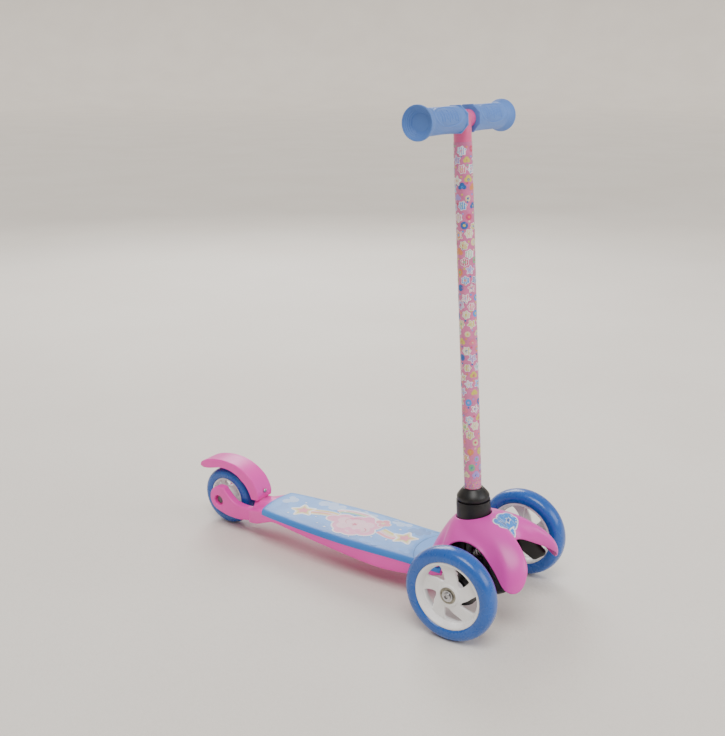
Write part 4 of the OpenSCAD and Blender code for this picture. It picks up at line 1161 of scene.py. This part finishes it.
LOOKS = {
    BLACK: ["steering_frame", "front_truck", "tie_rod", "left_knuckle", "right_knuckle"],
    PAINT: ["stem_tube", "handlebar_tube"],
    STEEL: ["snap_button", "lean_pivot_bolt", "lean_pivot_nut", "drive_pin", "cover_screws",
            "frame_screws", "kingpins", "left_axle_spacers", "right_axle_spacers", "rear_bearings",
            "rear_axle_spacers"],
    # rear axle bolt and nut: steel darkened with painted recess shade
    RECESS_SHADED_STEEL: ["rear_axle_bolt", "rear_axle_nut"],
    SPRING: ["snap_button_spring", "brake_spring"],
    NYLON: ["lean_bushes"],
}
for look, names in LOOKS.items():
    for name in names:
        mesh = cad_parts[name].data
        mesh.materials.clear()
        mesh.materials.append(look)

# ---- stage, light and camera

mat, tree, shader = nodes_of("pale_floor")
drift = ramp(tree, noise(tree, 2.2, 5), 0.35, 0.65, 0, 1)
tone = mix(tree, drift, (0.79, 0.74, 0.68), (0.82, 0.775, 0.715))
speck = ramp(tree, noise(tree, 90, 6), 0.55, 0.75, 0, 0.25)
tree.links.new(mix(tree, speck, tone, (0.72, 0.67, 0.61)), shader.inputs["Base Color"])
surface(tree, shader, 0.75, 220, 0.5)
mesh = bpy.data.meshes.new("floor")
# a round floor that curves up into a wall, in metres
DISC, COVE, WALL_TOP, SIDES = 14, 3, 12, 96
sheet = [(DISC * u, 0) for u in (0.01 / DISC, 0.05, 0.1, 0.2, 0.4, 0.7, 1)]
sheet += around(DISC, COVE, COVE, COVE, np.radians(range(-84, 1, 6)))
sheet.append((DISC + COVE, WALL_TOP))
verts, faces = lathe(sheet, SIDES)
faces.append(list(range(SIDES))[::-1])
mesh.from_pydata(verts.tolist(), [], faces)
mesh.polygons.foreach_set("use_smooth", [True] * len(mesh.polygons))
mesh.materials.append(mat)
floor = bpy.data.objects.new("floor", mesh)
floor.location.z = -0.0002
bpy.context.scene.collection.objects.link(floor)

world = bpy.data.worlds.new("studio")
bpy.context.scene.world = world
world.use_nodes = True
background = world.node_tree.nodes["Background"]
background.inputs["Color"].default_value = (0.98, 0.97, 0.95, 1)
background.inputs["Strength"].default_value = 0.5


def soft_light(name, place, target, size, power, colour):
    data = bpy.data.lights.new(name, "AREA")
    data.shape = "RECTANGLE"
    data.size, data.size_y = size
    data.energy = power
    data.color = colour
    lamp = bpy.data.objects.new(name, data)
    lamp.location = place
    lamp.rotation_euler = (Vector(target) - Vector(place)).to_track_quat("-Z", "Y").to_euler()
    bpy.context.scene.collection.objects.link(lamp)


sun = bpy.data.lights.new("key", "SUN")
sun.energy = 2.0
sun.angle = math.radians(35)
sun.color = (1.0, 0.98, 0.95)
key = bpy.data.objects.new("key", sun)
key.rotation_euler = Vector((1.2, 0.6, -2.6)).to_track_quat("-Z", "Y").to_euler()
bpy.context.scene.collection.objects.link(key)
soft_light("fill", (0.4, -2.6, 1.5), (0, 0, 0.3), (2.2, 1.4), 36, (0.95, 0.97, 1.0))
soft_light("rim", (1.8, 1.6, 1.8), (0, 0, 0.3), (1.4, 1.4), 46, (1.0, 1.0, 1.0))

lens = bpy.data.cameras.new("camera")
lens.sensor_fit = "AUTO"
lens.sensor_width = 36
lens.lens = 49.24
camera = bpy.data.objects.new("camera", lens)
camera.location = (-1.0951, (AXLE_Y - 531.8) / 1000, 0.6982)
camera.rotation_euler = (math.radians(73.0), 0, math.radians(-56.14))
bpy.context.scene.collection.objects.link(camera)
bpy.context.scene.camera = camera
